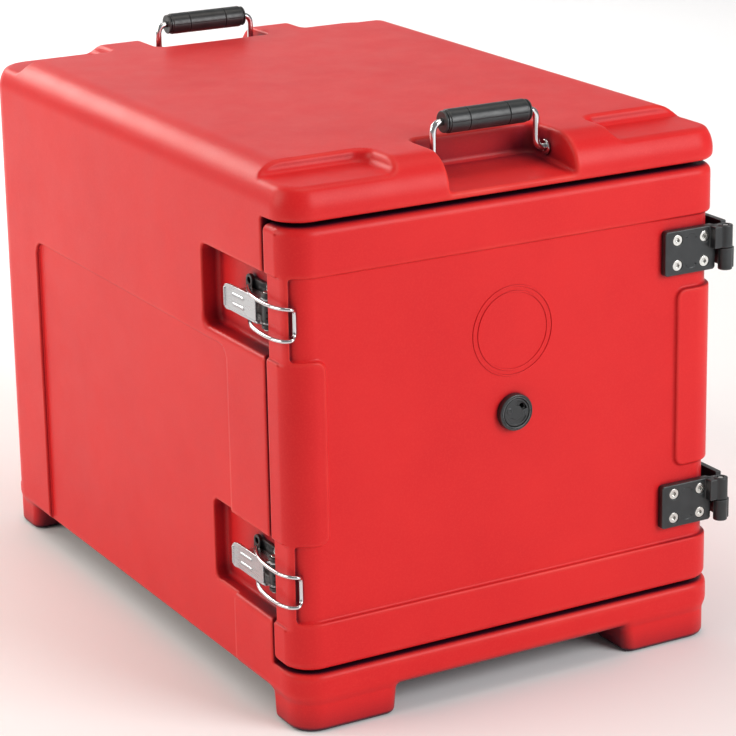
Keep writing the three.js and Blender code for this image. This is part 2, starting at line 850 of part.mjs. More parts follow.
function latchBail(z) {
  const side = (sign) => [
    [BAIL_PIVOT.x, BAIL_PIVOT.y, z + sign * 9.8],
    [BAIL_PIVOT.x, BAIL_PIVOT.y, z + sign * 14],
    [-217, FRONT + 76, z + sign * 14],
    [-224, FRONT + 56, z + sign * 14],
    [-225, FRONT + 20, z + sign * 14],
    [-219.5, FRONT + 8.4, z + sign * 14],
    [-214, FRONT + 5.2, z + sign * 14],
    [-209.5, FRONT + 9, z + sign * 14],
  ];
  const points = [...side(1), ...side(-1).reverse()];
  return wire(points, 3, 1.5, 8);
}

function latchScrew([x, y, z]) {
  return countersunkScrew([0, 0, 0], 3.2, 1.6, 6.6)
    .rotate([0, 0, -90])
    .translate([x - 3, y, z]);
}

// ---- carrying handles ---------------------------------------------------

function handlePositions() {
  return [
    { name: 'front', y: FRONT + HANDLE_INSET },
    { name: 'rear', y: BACK - HANDLE_INSET },
  ];
}

function handleBail(y) {
  const low = HANDLE_PIVOT_HEIGHT;
  const high = low + HANDLE_RISE;
  const half = HANDLE_WIRE_HALF_SPAN;
  const tip = HANDLE_RECESS_HALF + 7;
  return wire([
    [-tip, y, low], [-half, y, low], [-half, y, high],
    [half, y, high], [half, y, low], [tip, y, low],
  ], 8, HANDLE_WIRE_RADIUS, 10);
}

function handleGrip(y) {
  const bore = HANDLE_WIRE_RADIUS + GAP;
  const outer = 10.5;
  const groove = 9.6;
  const end = GRIP_HALF_LENGTH;
  const profile = [
    [bore, -end], [8.4, -end], [9.6, -end + 1], [9.6, -end + 4], [outer, -end + 4.6],
    [outer, -20.8], [groove, -20.4], [groove, -19.4], [outer, -19],
    [outer, 19], [groove, 19.4], [groove, 20.4], [outer, 20.8],
    [outer, end - 4.6], [9.6, end - 4], [9.6, end - 1], [8.4, end], [bore, end], [bore, -end],
  ];
  return turned(profile, 'x', [0, y, HANDLE_PIVOT_HEIGHT + HANDLE_RISE], 20);
}

function handleBush(side, y) {
  const wall = HANDLE_RECESS_HALF - GAP;
  const profile = [
    [3.4, wall - 2.6], [6, wall - 2.6], [6.8, wall - 1.8], [6.8, wall], [3.4, wall],
    [3.4, wall - 2.6],
  ].map(([radius, along]) => [radius, side * along]);
  return turned(profile, 'x', [0, y, HANDLE_PIVOT_HEIGHT]);
}

// ---- assembly -----------------------------------------------------------

const carrier = new THREE.Group();
carrier.name = 'insulated_food_carrier';

function addPart(name, solid, surface) {
  const mesh = new THREE.Mesh(toGeometry(solid), surface);
  mesh.name = name;
  carrier.add(mesh);
}

addPart('body_outer_shell', bodyOuterShell(), RED_POLYETHYLENE);
addPart('body_liner', bodyLiner(), RED_POLYETHYLENE);
addPart('body_foam_core', bodyFoamCore(), FOAM);
addPart('door_outer_shell', doorOuterShell(), RED_POLYETHYLENE);
addPart('door_inner_panel', doorInnerPanel(), RED_POLYETHYLENE);
addPart('door_foam_core', doorFoamCore(), FOAM);
addPart('door_gasket', doorGasket(), RUBBER);
addPart('vent_housing', ventHousing(), BLACK_PLASTIC);
addPart('vent_rotary_disc', ventRotaryDisc(), BLACK_PLASTIC);
addPart('vent_seal', ventSeal(), RUBBER);

for (const [name, z] of Object.entries(HINGE_HEIGHTS)) {
  addPart(`${name}_hinge_door_leaf`, hingeDoorLeaf(z), BLACK_PLASTIC);
  addPart(`${name}_hinge_body_leaf`, hingeBodyLeaf(z), BLACK_PLASTIC);
  addPart(`${name}_hinge_pin`, hingePin(z), STEEL);
  doorHingeScrewCentres().filter(([, , at]) => Math.abs(at - z) < 20)
    .forEach((centre, i) => {
      addPart(`${name}_hinge_door_screw_${i + 1}`, doorHingeScrew(centre), STEEL);
    });
  bodyHingeScrewCentres().filter(([, , at]) => Math.abs(at - z) < 20)
    .forEach((centre, i) => {
      addPart(`${name}_hinge_body_screw_${i + 1}`, bodyHingeScrew(centre), STEEL);
    });
}

for (const [name, z] of Object.entries(LATCH_HEIGHTS)) {
  addPart(`${name}_latch_base`, latchBase(z), BLACK_PLASTIC);
  addPart(`${name}_latch_lever`, latchLever(z), STEEL);
  addPart(`${name}_latch_bail`, latchBail(z), STEEL);
  addPart(`${name}_latch_pivot_pin`, latchPivotPin(z), STEEL);
  latchScrewCentres().filter(([, , at]) => Math.abs(at - z) < 20)
    .forEach((centre, i) => {
      addPart(`${name}_latch_screw_${i + 1}`, latchScrew(centre), STEEL);
    });
}

for (const { name, y } of handlePositions()) {
  addPart(`${name}_handle_bail`, handleBail(y), STEEL);
  addPart(`${name}_handle_grip`, handleGrip(y), BLACK_PLASTIC);
  addPart(`${name}_handle_bush_left`, handleBush(-1, y), STEEL);
  addPart(`${name}_handle_bush_right`, handleBush(1, y), STEEL);
}

export default carrier;
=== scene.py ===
"""Looks of the insulated food carrier: detailed meshes, materials, studio and camera.

Shapes are worked out in millimetres as distance fields or turned and swept profiles,
and are written to Blender in metres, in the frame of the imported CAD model.
"""

import math

import bpy
import numpy as np
from mathutils import Matrix, Vector


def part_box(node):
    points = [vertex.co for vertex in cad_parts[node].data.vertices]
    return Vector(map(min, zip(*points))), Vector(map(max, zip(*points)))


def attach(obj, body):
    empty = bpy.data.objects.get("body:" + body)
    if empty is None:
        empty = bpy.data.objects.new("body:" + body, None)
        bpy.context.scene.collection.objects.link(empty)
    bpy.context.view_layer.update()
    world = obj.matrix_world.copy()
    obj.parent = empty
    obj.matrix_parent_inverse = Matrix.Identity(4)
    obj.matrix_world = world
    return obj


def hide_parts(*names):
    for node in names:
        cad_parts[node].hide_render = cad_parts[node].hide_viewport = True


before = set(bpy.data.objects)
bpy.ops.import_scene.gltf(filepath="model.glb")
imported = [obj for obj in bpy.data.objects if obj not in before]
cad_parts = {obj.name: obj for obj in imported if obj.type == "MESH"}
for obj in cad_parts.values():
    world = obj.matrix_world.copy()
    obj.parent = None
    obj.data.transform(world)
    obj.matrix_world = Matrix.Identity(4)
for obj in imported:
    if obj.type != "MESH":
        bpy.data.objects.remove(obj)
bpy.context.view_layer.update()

MM = 0.001
COARSE = 1.0


# ---- places taken from the frame ----


def span(node):
    """Lowest and highest corner of a CAD node, in millimetres."""
    low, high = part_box(node)
    return np.array(low) / MM, np.array(high) / MM


def middle(node):
    low, high = span(node)
    return (low + high) / 2


(LEFT, FRONT, FLOOR), (RIGHT, BACK, TOP) = span("body_outer_shell")
(DOOR_LEFT, _, DOOR_LOW), (DOOR_RIGHT, DOOR_REAR, DOOR_HIGH) = span("door_outer_shell")
LEVELS = ("upper", "lower")
ENDS = ("front", "rear")
LATCH_Z = {level: middle(f"{level}_latch_pivot_pin")[2] for level in LEVELS}
HINGE_Z = {level: middle(f"{level}_hinge_pin")[2] for level in LEVELS}
HANDLE_Y = {end: middle(f"{end}_handle_grip")[1] for end in ENDS}
GRIP_Z = middle("front_handle_grip")[2]
PIVOT_Z = middle("front_handle_bush_left")[2]
VENT_Z = middle("vent_rotary_disc")[2]
EMBLEM_Z = VENT_Z + 73

# ---- the design's own sizes, in millimetres ----

FOOT = 26
FOOT_DRAFT = 0.11
WALL = 4
GAP = 0.3
DOOR_GAP_LOW = DOOR_LOW - 3
DOOR_GAP_HIGH = DOOR_HIGH + 4
DOOR_GAP_DEPTH = 46
PANEL_STEP = 4
BAND_LOW = 101
BAND_HIGH = 406
POCKET_INNER = 112
POCKET_DEPTH = 63
POCKET_FLOOR = 482
POCKET_LEAN = 0.42
HANDLE_RECESS_HALF = 63
HANDLE_RECESS_DEPTH = 72
HANDLE_FLOOR = 460
HANDLE_FLOOR_RISE = 6
HANDLE_WIRE = 3
HANDLE_BORE = 3.3
HANDLE_SOCKET = 3.4
LATCH_FLOOR = LEFT + 18
LATCH_HALF = {"upper": 37, "lower": 38}
LATCH_RECESS_BACK = 161
LATCH_WIRE = 1.7
LEVER_BORE = 2.5
SIDE_PANEL = (FRONT + 118, FRONT + 537, -40, 321)
SIDE_PANEL_STEP = 4
HINGE_BARREL = 6.5
HINGE_BORE = 3.3
SCREW_WELL = 5.4
VENT_BORE = 12.6
CAVITY_HALF = 167.5
CAVITY_LOW = 84
CAVITY_HIGH = 424
CAVITY_DEPTH = 540
LINER_WALL = 3.5
FLANGE_FRONT = 42.8
RUNNER_PITCH = 38
RUNNER_COUNT = 8
RUNNER_FIRST = CAVITY_LOW + 28.5


# ---- distance fields ----


def inter(a, b, r=0.0):
    """The part inside both fields, its edge rounded by r."""
    round_part = np.hypot(np.maximum(a + r, 0), np.maximum(b + r, 0))
    return np.minimum(-r, np.maximum(a, b)) + round_part


def cut(a, b, r=0.0):
    return inter(a, -b, r)


def join(a, b, r=0.0):
    return -inter(-a, -b, r)


def slab(u, low, high):
    return np.maximum(low - u, u - high)


def rect(u, v, box, radii):
    """Rounded rectangle. One radius, or four that go round from the low corner."""
    radii = np.broadcast_to(radii, 4)
    u0, u1, v0, v1 = box
    du, dv = u - (u0 + u1) / 2, v - (v0 + v1) / 2
    r = np.where(
        du < 0, np.where(dv < 0, radii[0], radii[3]), np.where(dv < 0, radii[1], radii[2])
    )
    qu = np.abs(du) - (u1 - u0) / 2 + r
    qv = np.abs(dv) - (v1 - v0) / 2 + r
    outside = np.hypot(np.maximum(qu, 0), np.maximum(qv, 0))
    return np.minimum(np.maximum(qu, qv), 0) + outside - r


def prism(u, v, w, box, radii, ends, rims=(0.0, 0.0)):
    """Rounded rectangle drawn along w between two ends, with rounded rims."""
    plan = rect(u, v, box, radii)
    return inter(inter(plan, ends[0] - w, rims[0]), w - ends[1], rims[1])


def disc(u, v, centre, radius):
    return np.hypot(u - centre[0], v - centre[1]) - radius


def drum(u, v, w, centre, radius, ends, rims=(0.0, 0.0)):
    around = disc(u, v, centre, radius)
    return inter(inter(around, ends[0] - w, rims[0]), w - ends[1], rims[1])


def ticks(low, high, coarse, fine, *spots):
    """Grid lines that lie close together inside the given spots and spread out between them."""
    coarse, fine = coarse * COARSE, fine * COARSE
    at, lines = low, [low]
    while at < high:
        away = min(max(start - at, at - end, 0) for start, end in spots)
        at += min(coarse, fine + 0.3 * away)
        lines.append(at)
    return np.array(lines)


def both(*spots):
    """Spots on both sides of the middle."""
    return [spot for a, b in spots for spot in ((a, b), (-b, -a))]


CUBE_EDGES = [
    (a, b)
    for a in range(8)
    for b in range(a + 1, 8)
    if bin(a ^ b).count("1") == 1
]


def cell_points(values, grid, active):
    """Mean crossing point of the surface in each active cell of the grid."""
    i, j, k = active
    corners = [
        values[i + (c & 1), j + (c >> 1 & 1), k + (c >> 2 & 1)] for c in range(8)
    ]
    places = [
        np.stack([grid[a][n + (c >> a & 1)] for a, n in enumerate(active)], axis=1)
        for c in range(8)
    ]
    total = np.zeros((len(i), 3))
    count = np.zeros(len(i))
    for a, b in CUBE_EDGES:
        crosses = (corners[a] < 0) != (corners[b] < 0)
        gap = np.where(crosses, corners[a] - corners[b], 1.0)
        t = np.where(crosses, corners[a] / gap, 0.0)[:, None]
        total += np.where(crosses[:, None], places[a] * (1 - t) + places[b] * t, 0.0)
        count += crosses
    return total / count[:, None]


def slope(field, points, step):
    """Gradient of a field at each point."""
    parts = []
    for axis in range(3):
        ahead, behind = points.copy(), points.copy()
        ahead[:, axis] += step
        behind[:, axis] -= step
        parts.append((field(*ahead.T) - field(*behind.T)) / (2 * step))
    return np.stack(parts, axis=1)


def net(field, grid):
    """Vertices, quads and normals of the field's zero surface on a grid of lines."""
    xs, ys, zs = grid
    values = field(xs[:, None, None], ys[None, :, None], zs[None, None, :])
    values = np.broadcast_to(values, (len(xs), len(ys), len(zs)))
    inside = values < 0
    filled = sum(
        inside[
            tuple(slice(c >> a & 1, len(g) - 1 + (c >> a & 1)) for a, g in enumerate(grid))
        ].astype(np.int8)
        for c in range(8)
    )
    active = np.nonzero((filled > 0) & (filled < 8))
    index = np.full(filled.shape, -1, dtype=np.int64)
    index[active] = np.arange(len(active[0]))
    points = cell_points(values, grid, active)
    limit = 0.5 * np.stack([np.diff(g)[a] for g, a in zip(grid, active)], axis=1)
    for _ in range(4):
        gradient = slope(field, points, 0.02)
        size = np.maximum((gradient**2).sum(axis=1), 0.25)
        move = -(field(*points.T) / size)[:, None] * gradient
        points = points + np.clip(move, -limit, limit)
    quads = []
    for axis in range(3):
        u, v = (axis + 1) % 3, (axis + 2) % 3
        first = np.moveaxis(inside, (axis, u, v), (0, 1, 2))
        start, end = first[:-1, 1:-1, 1:-1], first[1:, 1:-1, 1:-1]
        a, b, c = np.nonzero(start != end)
        cell = np.moveaxis(index, (axis, u, v), (0, 1, 2))
        ring = np.stack(
            [cell[a, b, c], cell[a, b + 1, c], cell[a, b + 1, c + 1], cell[a, b, c + 1]],
            axis=1,
        )
        leaving = start[a, b, c]
        quads.append(ring[leaving])
        quads.append(ring[~leaving][:, ::-1])
    gradient = slope(field, points, 0.15)
    length = np.maximum(np.linalg.norm(gradient, axis=1), 1e-9)
    return points, np.concatenate(quads), gradient / length[:, None]


# ---- Blender objects ----


def add_object(name, points, faces, normals=None):
    mesh = bpy.data.meshes.new(name)
    mesh.from_pydata((np.asarray(points) * MM).tolist(), [], [list(f) for f in faces])
    mesh.validate()
    mesh.update()
    mesh.shade_smooth()
    if normals is not None and len(normals) == len(mesh.vertices):
        mesh.normals_split_custom_set_from_vertices(normals.tolist())
    piece = bpy.data.objects.new(name, mesh)
    bpy.context.scene.collection.objects.link(piece)
    return piece


def place(piece, body, look, *nodes):
    """Rides the piece on a body, in place of CAD nodes, and gives it the surface material from a
    look of slot and surface.
    """
    slot, surface = look
    piece.data.materials.append(surface)
    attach(piece, body)
    if nodes:
        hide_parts(*nodes)
    return piece


def field_piece(name, field, grid):
    return add_object(name, *net(field, grid))


def softened(profile, radius, steps=4, closed=True):
    """A profile with each corner replaced by a small curve."""
    points = [np.array(p, float) for p in profile]
    count = len(points)
    result = []
    for i, corner in enumerate(points):
        if not closed and i in (0, count - 1):
            result.append(corner)
            continue
        before = points[i - 1] - corner
        after = points[(i + 1) % count] - corner
        near, far = np.linalg.norm(before), np.linalg.norm(after)
        entry = corner + before / near * min(radius, near * 0.45)
        leave = corner + after / far * min(radius, far * 0.45)
        for s in range(steps + 1):
            t = s / steps
            result.append(
                entry * (1 - t) ** 2 + corner * 2 * t * (1 - t) + leave * t**2
            )
    return np.array(result)


def skin_rings(rings, closed_path):
    """Quads between rings of equally many points."""
    count, size = len(rings), len(rings[0])
    faces = []
    last = count if closed_path else count - 1
    for r in range(last):
        for s in range(size):
            a, b = r * size + s, r * size + (s + 1) % size
            shift = size if r < count - 1 else -r * size
            faces.append((a, b, b + shift, a + shift))
    if not closed_path:
        faces.append(tuple(reversed(range(size))))
        faces.append(tuple(range((count - 1) * size, count * size)))
    return np.concatenate(rings), faces


TURN_AXES = {
    "x": lambda a, c, s: np.stack([a, c, s], axis=-1),
    "y": lambda a, c, s: np.stack([c, a, s], axis=-1),
    "z": lambda a, c, s: np.stack([c, s, a], axis=-1),
}


def turned(name, profile, axis, centre, segments=72, soft=0.0, steps=3):
    """A closed profile of (radius, distance along the axis) turned round an axis."""
    outline = softened(profile, soft, steps) if soft else np.array(profile, float)
    area = np.sum(
        outline[:, 0] * np.roll(outline[:, 1], -1)
        - np.roll(outline[:, 0], -1) * outline[:, 1]
    )
    if (area > 0) == (axis == "y"):
        outline = outline[::-1]
    rings = []
    for s in range(segments):
        angle = 2 * math.pi * s / segments
        ring = TURN_AXES[axis](
            outline[:, 1], outline[:, 0] * math.cos(angle), outline[:, 0] * math.sin(angle)
        )
        rings.append(ring + centre)
    points, faces = skin_rings(rings, True)
    return add_object(name, points, faces)


def bent_path(corners, bend, step):
    """Points along straight runs joined by smooth bends."""
    corners = [np.array(c, float) for c in corners]
    path = [corners[0]]
    for i in range(1, len(corners) - 1):
        before, after = corners[i - 1] - corners[i], corners[i + 1] - corners[i]
        near, far = np.linalg.norm(before), np.linalg.norm(after)
        reach = min(bend, near * 0.49, far * 0.49)
        entry = corners[i] + before / near * reach
        leave = corners[i] + after / far * reach
        for t in np.linspace(0, 1, 9):
            path.append(entry * (1 - t) ** 2 + corners[i] * 2 * t * (1 - t) + leave * t**2)
    path.append(corners[-1])
    dense = [path[0]]
    for a, b in zip(path, path[1:]):
        parts = max(1, int(np.linalg.norm(b - a) / step))
        dense.extend(a + (b - a) * (p + 1) / parts for p in range(parts))
    return np.array(dense)


def wire(name, corners, bend, radius, sides=20, step=3.0):
    """Round wire swept along a bent path, its ends slightly domed."""
    path = bent_path(corners, bend, step)
    tangents = np.gradient(path, axis=0)
    tangents /= np.linalg.norm(tangents, axis=1)[:, None]
    normal = np.cross(tangents[0], [0.3, 0.5, 0.81])
    rings = []
    dome = [(0.55, 0.0), (0.85, 0.12), (1.0, 0.35)]
    for i, (point, tangent) in enumerate(zip(path, tangents)):
        normal = normal - tangent * normal.dot(tangent)
        normal /= np.linalg.norm(normal)
        side = np.cross(tangent, normal)
        turn = 2 * math.pi * np.arange(sides) / sides
        around = np.outer(np.cos(turn), normal) + np.outer(np.sin(turn), side)
        if i == 0:
            rings.extend(
                point + tangent * radius * along + around * radius * share
                for share, along in dome
            )
        elif i == len(path) - 1:
            rings.extend(
                point - tangent * radius * along + around * radius * share
                for share, along in reversed(dome)
            )
        else:
            rings.append(point + around * radius)
    points, faces = skin_rings(rings, False)
    return add_object(name, points, faces)


# ---- materials ----


def new_surface(name, colour, roughness, metallic=0.0):
    surface = bpy.data.materials.new(name)
    surface.use_nodes = True
    tree = surface.node_tree
    tree.nodes.clear()
    shader = tree.nodes.new("ShaderNodeBsdfPrincipled")
    output = tree.nodes.new("ShaderNodeOutputMaterial")
    tree.links.new(shader.outputs[0], output.inputs[0])
    shader.inputs["Base Color"].default_value = (*colour, 1)
    shader.inputs["Roughness"].default_value = roughness
    shader.inputs["Metallic"].default_value = metallic
    surface.diffuse_color = (*colour, 1)
    return surface, tree, shader


def noise(tree, scale, detail=3.0, rough=0.55, stretch=(1, 1, 1), kind="ShaderNodeTexNoise"):
    """Noise in object space, in cycles per metre along each axis."""
    where = tree.nodes.new("ShaderNodeTexCoord")
    mapping = tree.nodes.new("ShaderNodeMapping")
    mapping.inputs["Scale"].default_value = stretch
    texture = tree.nodes.new(kind)
    texture.inputs["Scale"].default_value = scale
    if kind == "ShaderNodeTexNoise":
        texture.inputs["Detail"].default_value = detail
        texture.inputs["Roughness"].default_value = rough
    tree.links.new(where.outputs["Object"], mapping.inputs["Vector"])
    tree.links.new(mapping.outputs[0], texture.inputs["Vector"])
    return texture.outputs[0]


def ramp(tree, source, stops):
    """Maps a value through (position, grey) stops."""
    node = tree.nodes.new("ShaderNodeValToRGB")
    elements = node.color_ramp.elements
    while len(elements) < len(stops):
        elements.new(0.5)
    for element, (position, value) in zip(elements, stops):
        element.position = position
        element.color = (*value, 1) if isinstance(value, tuple) else (value, value, value, 1)
    tree.links.new(source, node.inputs[0])
    return node.outputs[0]


def blend(tree, factor, a, b, mode="MIX"):
    node = tree.nodes.new("ShaderNodeMix")
    node.data_type = "RGBA"
    node.blend_type = mode
    for socket, value in ((node.inputs[0], factor), (node.inputs[6], a), (node.inputs[7], b)):
        if isinstance(value, bpy.types.NodeSocket):
            tree.links.new(value, socket)
        elif isinstance(value, tuple):
            socket.default_value = (*value, 1)
        else:
            socket.default_value = value
    return node.outputs[2]


def bump(tree, height, strength, distance, under=None):
    node = tree.nodes.new("ShaderNodeBump")
    node.inputs["Strength"].default_value = strength
    node.inputs["Distance"].default_value = distance
    tree.links.new(height, node.inputs["Height"])
    if under is not None:
        tree.links.new(under, node.inputs["Normal"])
    return node.outputs[0]


def convexity(tree, low, high):
    """0 on flats and 1 on convex edges."""
    geometry = tree.nodes.new("ShaderNodeNewGeometry")
    return ramp(tree, geometry.outputs["Pointiness"], [(low, 0.0), (high, 1.0)])


def painted_crevice_shade(tree, reach, low, high):
    """Mask for painted shade: 0 in deep narrow places and 1 in the open."""
    node = tree.nodes.new("ShaderNodeAmbientOcclusion")
    node.samples = 8
    node.inputs["Distance"].default_value = reach
    return ramp(tree, node.outputs["AO"], [(low, 0.0), (high, 1.0)])


def mottling(tree, scale, rough=0.6):
    """Soft patches from 0 to 1."""
    return ramp(tree, noise(tree, scale, 4, rough), [(0.3, 0.0), (0.7, 1.0)])


def red_polyethylene():
    """Rotomoulded polyethylene: satin skin, fine grain, slow waves, pale edges that are partly
    wear and partly painted highlight, and painted shade in deep narrow places.
    """
    surface, tree, shader = new_surface("red_polyethylene_skin", (0.70, 0.016, 0.018), 0.42)
    mottle = mottling(tree, 9)
    colour = blend(tree, mottle, (0.66, 0.0125, 0.0155), (0.72, 0.0175, 0.0185))
    speckle = ramp(tree, noise(tree, 620, 2, 0.5), [(0.45, 0.0), (0.75, 0.35)])
    colour = blend(tree, speckle, colour, (0.75, 0.036, 0.030))
    # Pale convex edges: partly wear, partly a painted highlight along the edges.
    wear_and_edge_highlight = blend(tree, 1.0, convexity(tree, 0.505, 0.60), mottle, "MULTIPLY")
    colour = blend(tree, wear_and_edge_highlight, colour, (0.80, 0.095, 0.07))
    # Painted shade: deep narrow places darken towards a navy black.
    colour = blend(tree, painted_crevice_shade(tree, 0.05, 0.28, 0.74), (0.035, 0.007, 0.020), colour)
    tree.links.new(colour, shader.inputs["Base Color"])
    patches = ramp(tree, noise(tree, 26, 5, 0.65), [(0.25, 0.36), (0.75, 0.44)])
    tree.links.new(patches, shader.inputs["Roughness"])
    waves = bump(tree, noise(tree, 5, 1, 0.4), 0.14, 0.002)
    ripple = bump(tree, noise(tree, 110, 2, 0.5), 0.08, 0.00018, waves)
    grain = bump(tree, noise(tree, 1300, 2, 0.5), 0.12, 0.00010, ripple)
    tree.links.new(grain, shader.inputs["Normal"])
    shader.inputs["Specular IOR Level"].default_value = 0.22
    return surface


def black_plastic():
    """Glass-filled nylon with a fine spark-eroded grain, painted highlights on convex edges and
    painted shade in deep narrow places.
    """
    surface, tree, shader = new_surface("black_plastic_grain", (0.014, 0.016, 0.018), 0.36)
    colour = blend(tree, mottling(tree, 60), (0.012, 0.0145, 0.016), (0.025, 0.0275, 0.030))
    # Painted highlight: convex edges are lightened.
    colour = blend(tree, convexity(tree, 0.51, 0.62), colour, (0.09, 0.096, 0.10))
    # Painted shade: deep narrow places darken to near black.
    colour = blend(tree, painted_crevice_shade(tree, 0.006, 0.35, 0.85), (0.002, 0.002, 0.003), colour)
    tree.links.new(colour, shader.inputs["Base Color"])
    rough = ramp(tree, noise(tree, 180, 3, 0.6), [(0.3, 0.28), (0.7, 0.42)])
    tree.links.new(rough, shader.inputs["Roughness"])
    grain = bump(tree, noise(tree, 2600, 2, 0.5), 0.22, 0.00012)
    tree.links.new(grain, shader.inputs["Normal"])
    return surface


def steel(name, stretch, colour, rough, strength):
    """Stainless steel whose brush lines run along the axis with the smallest stretch."""
    surface, tree, shader = new_surface(name, colour, 0.25, 1.0)
    lines = noise(tree, 900, 3, 0.7, stretch)
    tone = ramp(tree, lines, [(0.25, 0.0), (0.75, 1.0)])
    dark = tuple(c * 0.86 for c in colour)
    light = tuple(min(1.0, c * 1.08) for c in colour)
    tree.links.new(blend(tree, tone, dark, light), shader.inputs["Base Color"])
    tree.links.new(
        ramp(tree, lines, [(0.25, rough[0]), (0.75, rough[1])]), shader.inputs["Roughness"]
    )
    tree.links.new(bump(tree, lines, strength, 0.00006), shader.inputs["Normal"])
    return surface


def black_rubber():
    surface, tree, shader = new_surface("black_rubber_matte", (0.035, 0.035, 0.037), 0.8)
    colour = blend(tree, mottling(tree, 45), (0.028, 0.028, 0.030), (0.052, 0.052, 0.055))
    tree.links.new(colour, shader.inputs["Base Color"])
    tree.links.new(bump(tree, noise(tree, 1500, 2), 0.3, 0.0001), shader.inputs["Normal"])
    return surface


def insulating_foam():
    surface, tree, shader = new_surface("insulating_foam_cells", (0.82, 0.72, 0.45), 0.9)
    cells = noise(tree, 700, kind="ShaderNodeTexVoronoi")
    colour = blend(tree, mottling(tree, 12, 0.55), (0.74, 0.62, 0.36), (0.86, 0.77, 0.52))
    colour = blend(tree, ramp(tree, cells, [(0.0, 1.0), (0.5, 0.0)]), colour, (0.60, 0.48, 0.25))
    tree.links.new(colour, shader.inputs["Base Color"])
    tree.links.new(bump(tree, cells, 0.6, 0.0008), shader.inputs["Normal"])
    return surface


RED = "red_polyethylene", red_polyethylene()
BLACK = "black_plastic", black_plastic()
SHEET_STEEL = "stainless_steel", steel(
    "brushed_steel_sheet", (1.0, 0.03, 1.0), (0.50, 0.51, 0.53), (0.22, 0.36), 0.25
)
WIRE_STEEL = "stainless_steel", steel(
    "bright_steel_wire", (1.0, 1.0, 0.1), (0.70, 0.70, 0.72), (0.08, 0.2), 0.12
)
SCREW_STEEL = "stainless_steel", steel(
    "turned_steel", (1.0, 1.0, 1.0), (0.66, 0.65, 0.62), (0.14, 0.28), 0.15
)
RUBBER = "black_rubber", black_rubber()
FOAM = insulating_foam()


# ---- body ----


def body_field(x, y, z):
    """Outer skin of the body without its hollow."""
    plan = rect(x, y, (LEFT, RIGHT, FRONT, BACK), (28, 28, 38, 38))
    block = inter(inter(plan, FOOT - z, 10), z - TOP, 32)
    side, depth = np.abs(x), np.abs(y - (FRONT + BACK) / 2)
    edge = (BACK - FRONT) / 2 - 2
    draft = FOOT_DRAFT * np.minimum(z, FOOT)
    foot = prism(
        side + np.where(side < 168, draft, 0), depth + np.where(depth < edge - 27, draft, 0),
        z, (121, 216, edge - 54, edge), (10, 10, 24, 10), (0, FOOT + 15), (5, 0),
    )
    block = join(block, foot, 4)
    gap = inter(slab(z, DOOR_GAP_LOW, DOOR_GAP_HIGH), y - (FRONT + DOOR_GAP_DEPTH), 2.5)
    block = cut(block, gap, np.interp(y, [FRONT + 12, FRONT + 36], [5.5, 1.8]))
    reach = (BACK - FRONT) / 2
    lean = POCKET_LEAN * np.maximum(z - POCKET_FLOOR, 0)
    pocket = prism(
        side + lean, depth + 0.5 * lean, z,
        (POCKET_INNER, 260, reach - POCKET_DEPTH, reach + 40), 14,
        (POCKET_FLOOR, TOP + 60), (5, 0),
    )
    block = cut(block, pocket, 3.5)
    floor = HANDLE_FLOOR + HANDLE_FLOOR_RISE * (reach - depth) / HANDLE_RECESS_DEPTH
    recess = prism(
        x, depth, z - floor,
        (-HANDLE_RECESS_HALF, HANDLE_RECESS_HALF, reach - HANDLE_RECESS_DEPTH, reach + 40),
        10, (0, 90), (4, 0),
    )
    block = cut(block, recess, 3.5)
    for level in LEVELS:
        centre, half = LATCH_Z[level], LATCH_HALF[level]
        space = prism(
            y, z, x, (FRONT - 20, FRONT + LATCH_RECESS_BACK, centre - half, centre + half),
            8, (LEFT - 40, LATCH_FLOOR), (0, 4),
        )
        lip = np.interp(z, [centre - half - 8, centre - half + 12], [6.5, 1.6])
        block = cut(block, space, lip)
    panel = prism(
        y, z, -side, SIDE_PANEL, (10, 10, 14, 14), (-RIGHT - 30, SIDE_PANEL_STEP - RIGHT),
    )
    block = cut(block, panel, 1.3)
    for end in ENDS:
        socket = drum(y, z, side, (HANDLE_Y[end], PIVOT_Z), HANDLE_SOCKET, (54, 72))
        block = cut(block, socket, 0.4)
    return block


def tunnel_field(x, y, z, grow):
    """Space of the liner inside the body, grown on every side."""
    reach = CAVITY_HALF + LINER_WALL + grow
    return prism(
        x, z, y,
        (-reach, reach, CAVITY_LOW - LINER_WALL - grow, CAVITY_HIGH + LINER_WALL + grow),
        12,
        (FRONT + 30, FRONT + FLANGE_FRONT + CAVITY_DEPTH + LINER_WALL + grow), (0, 10),
    )


def body_skin_field(x, y, z):
    return cut(body_field(x, y, z), tunnel_field(x, y, z, GAP), 0.3)


def body_hollow_field(x, y, z):
    """Space inside the skin that the foam fills, turned inside out."""
    hollow = body_field(x, y, z) + WALL
    for end in ENDS:
        boss = np.maximum(
            np.maximum(slab(np.abs(x), 61, 81), np.abs(y - HANDLE_Y[end]) - 12),
            PIVOT_Z - 12 - z,
        )
        hollow = cut(hollow, boss)
    return -cut(hollow, tunnel_field(x, y, z, 2 * GAP), 2)


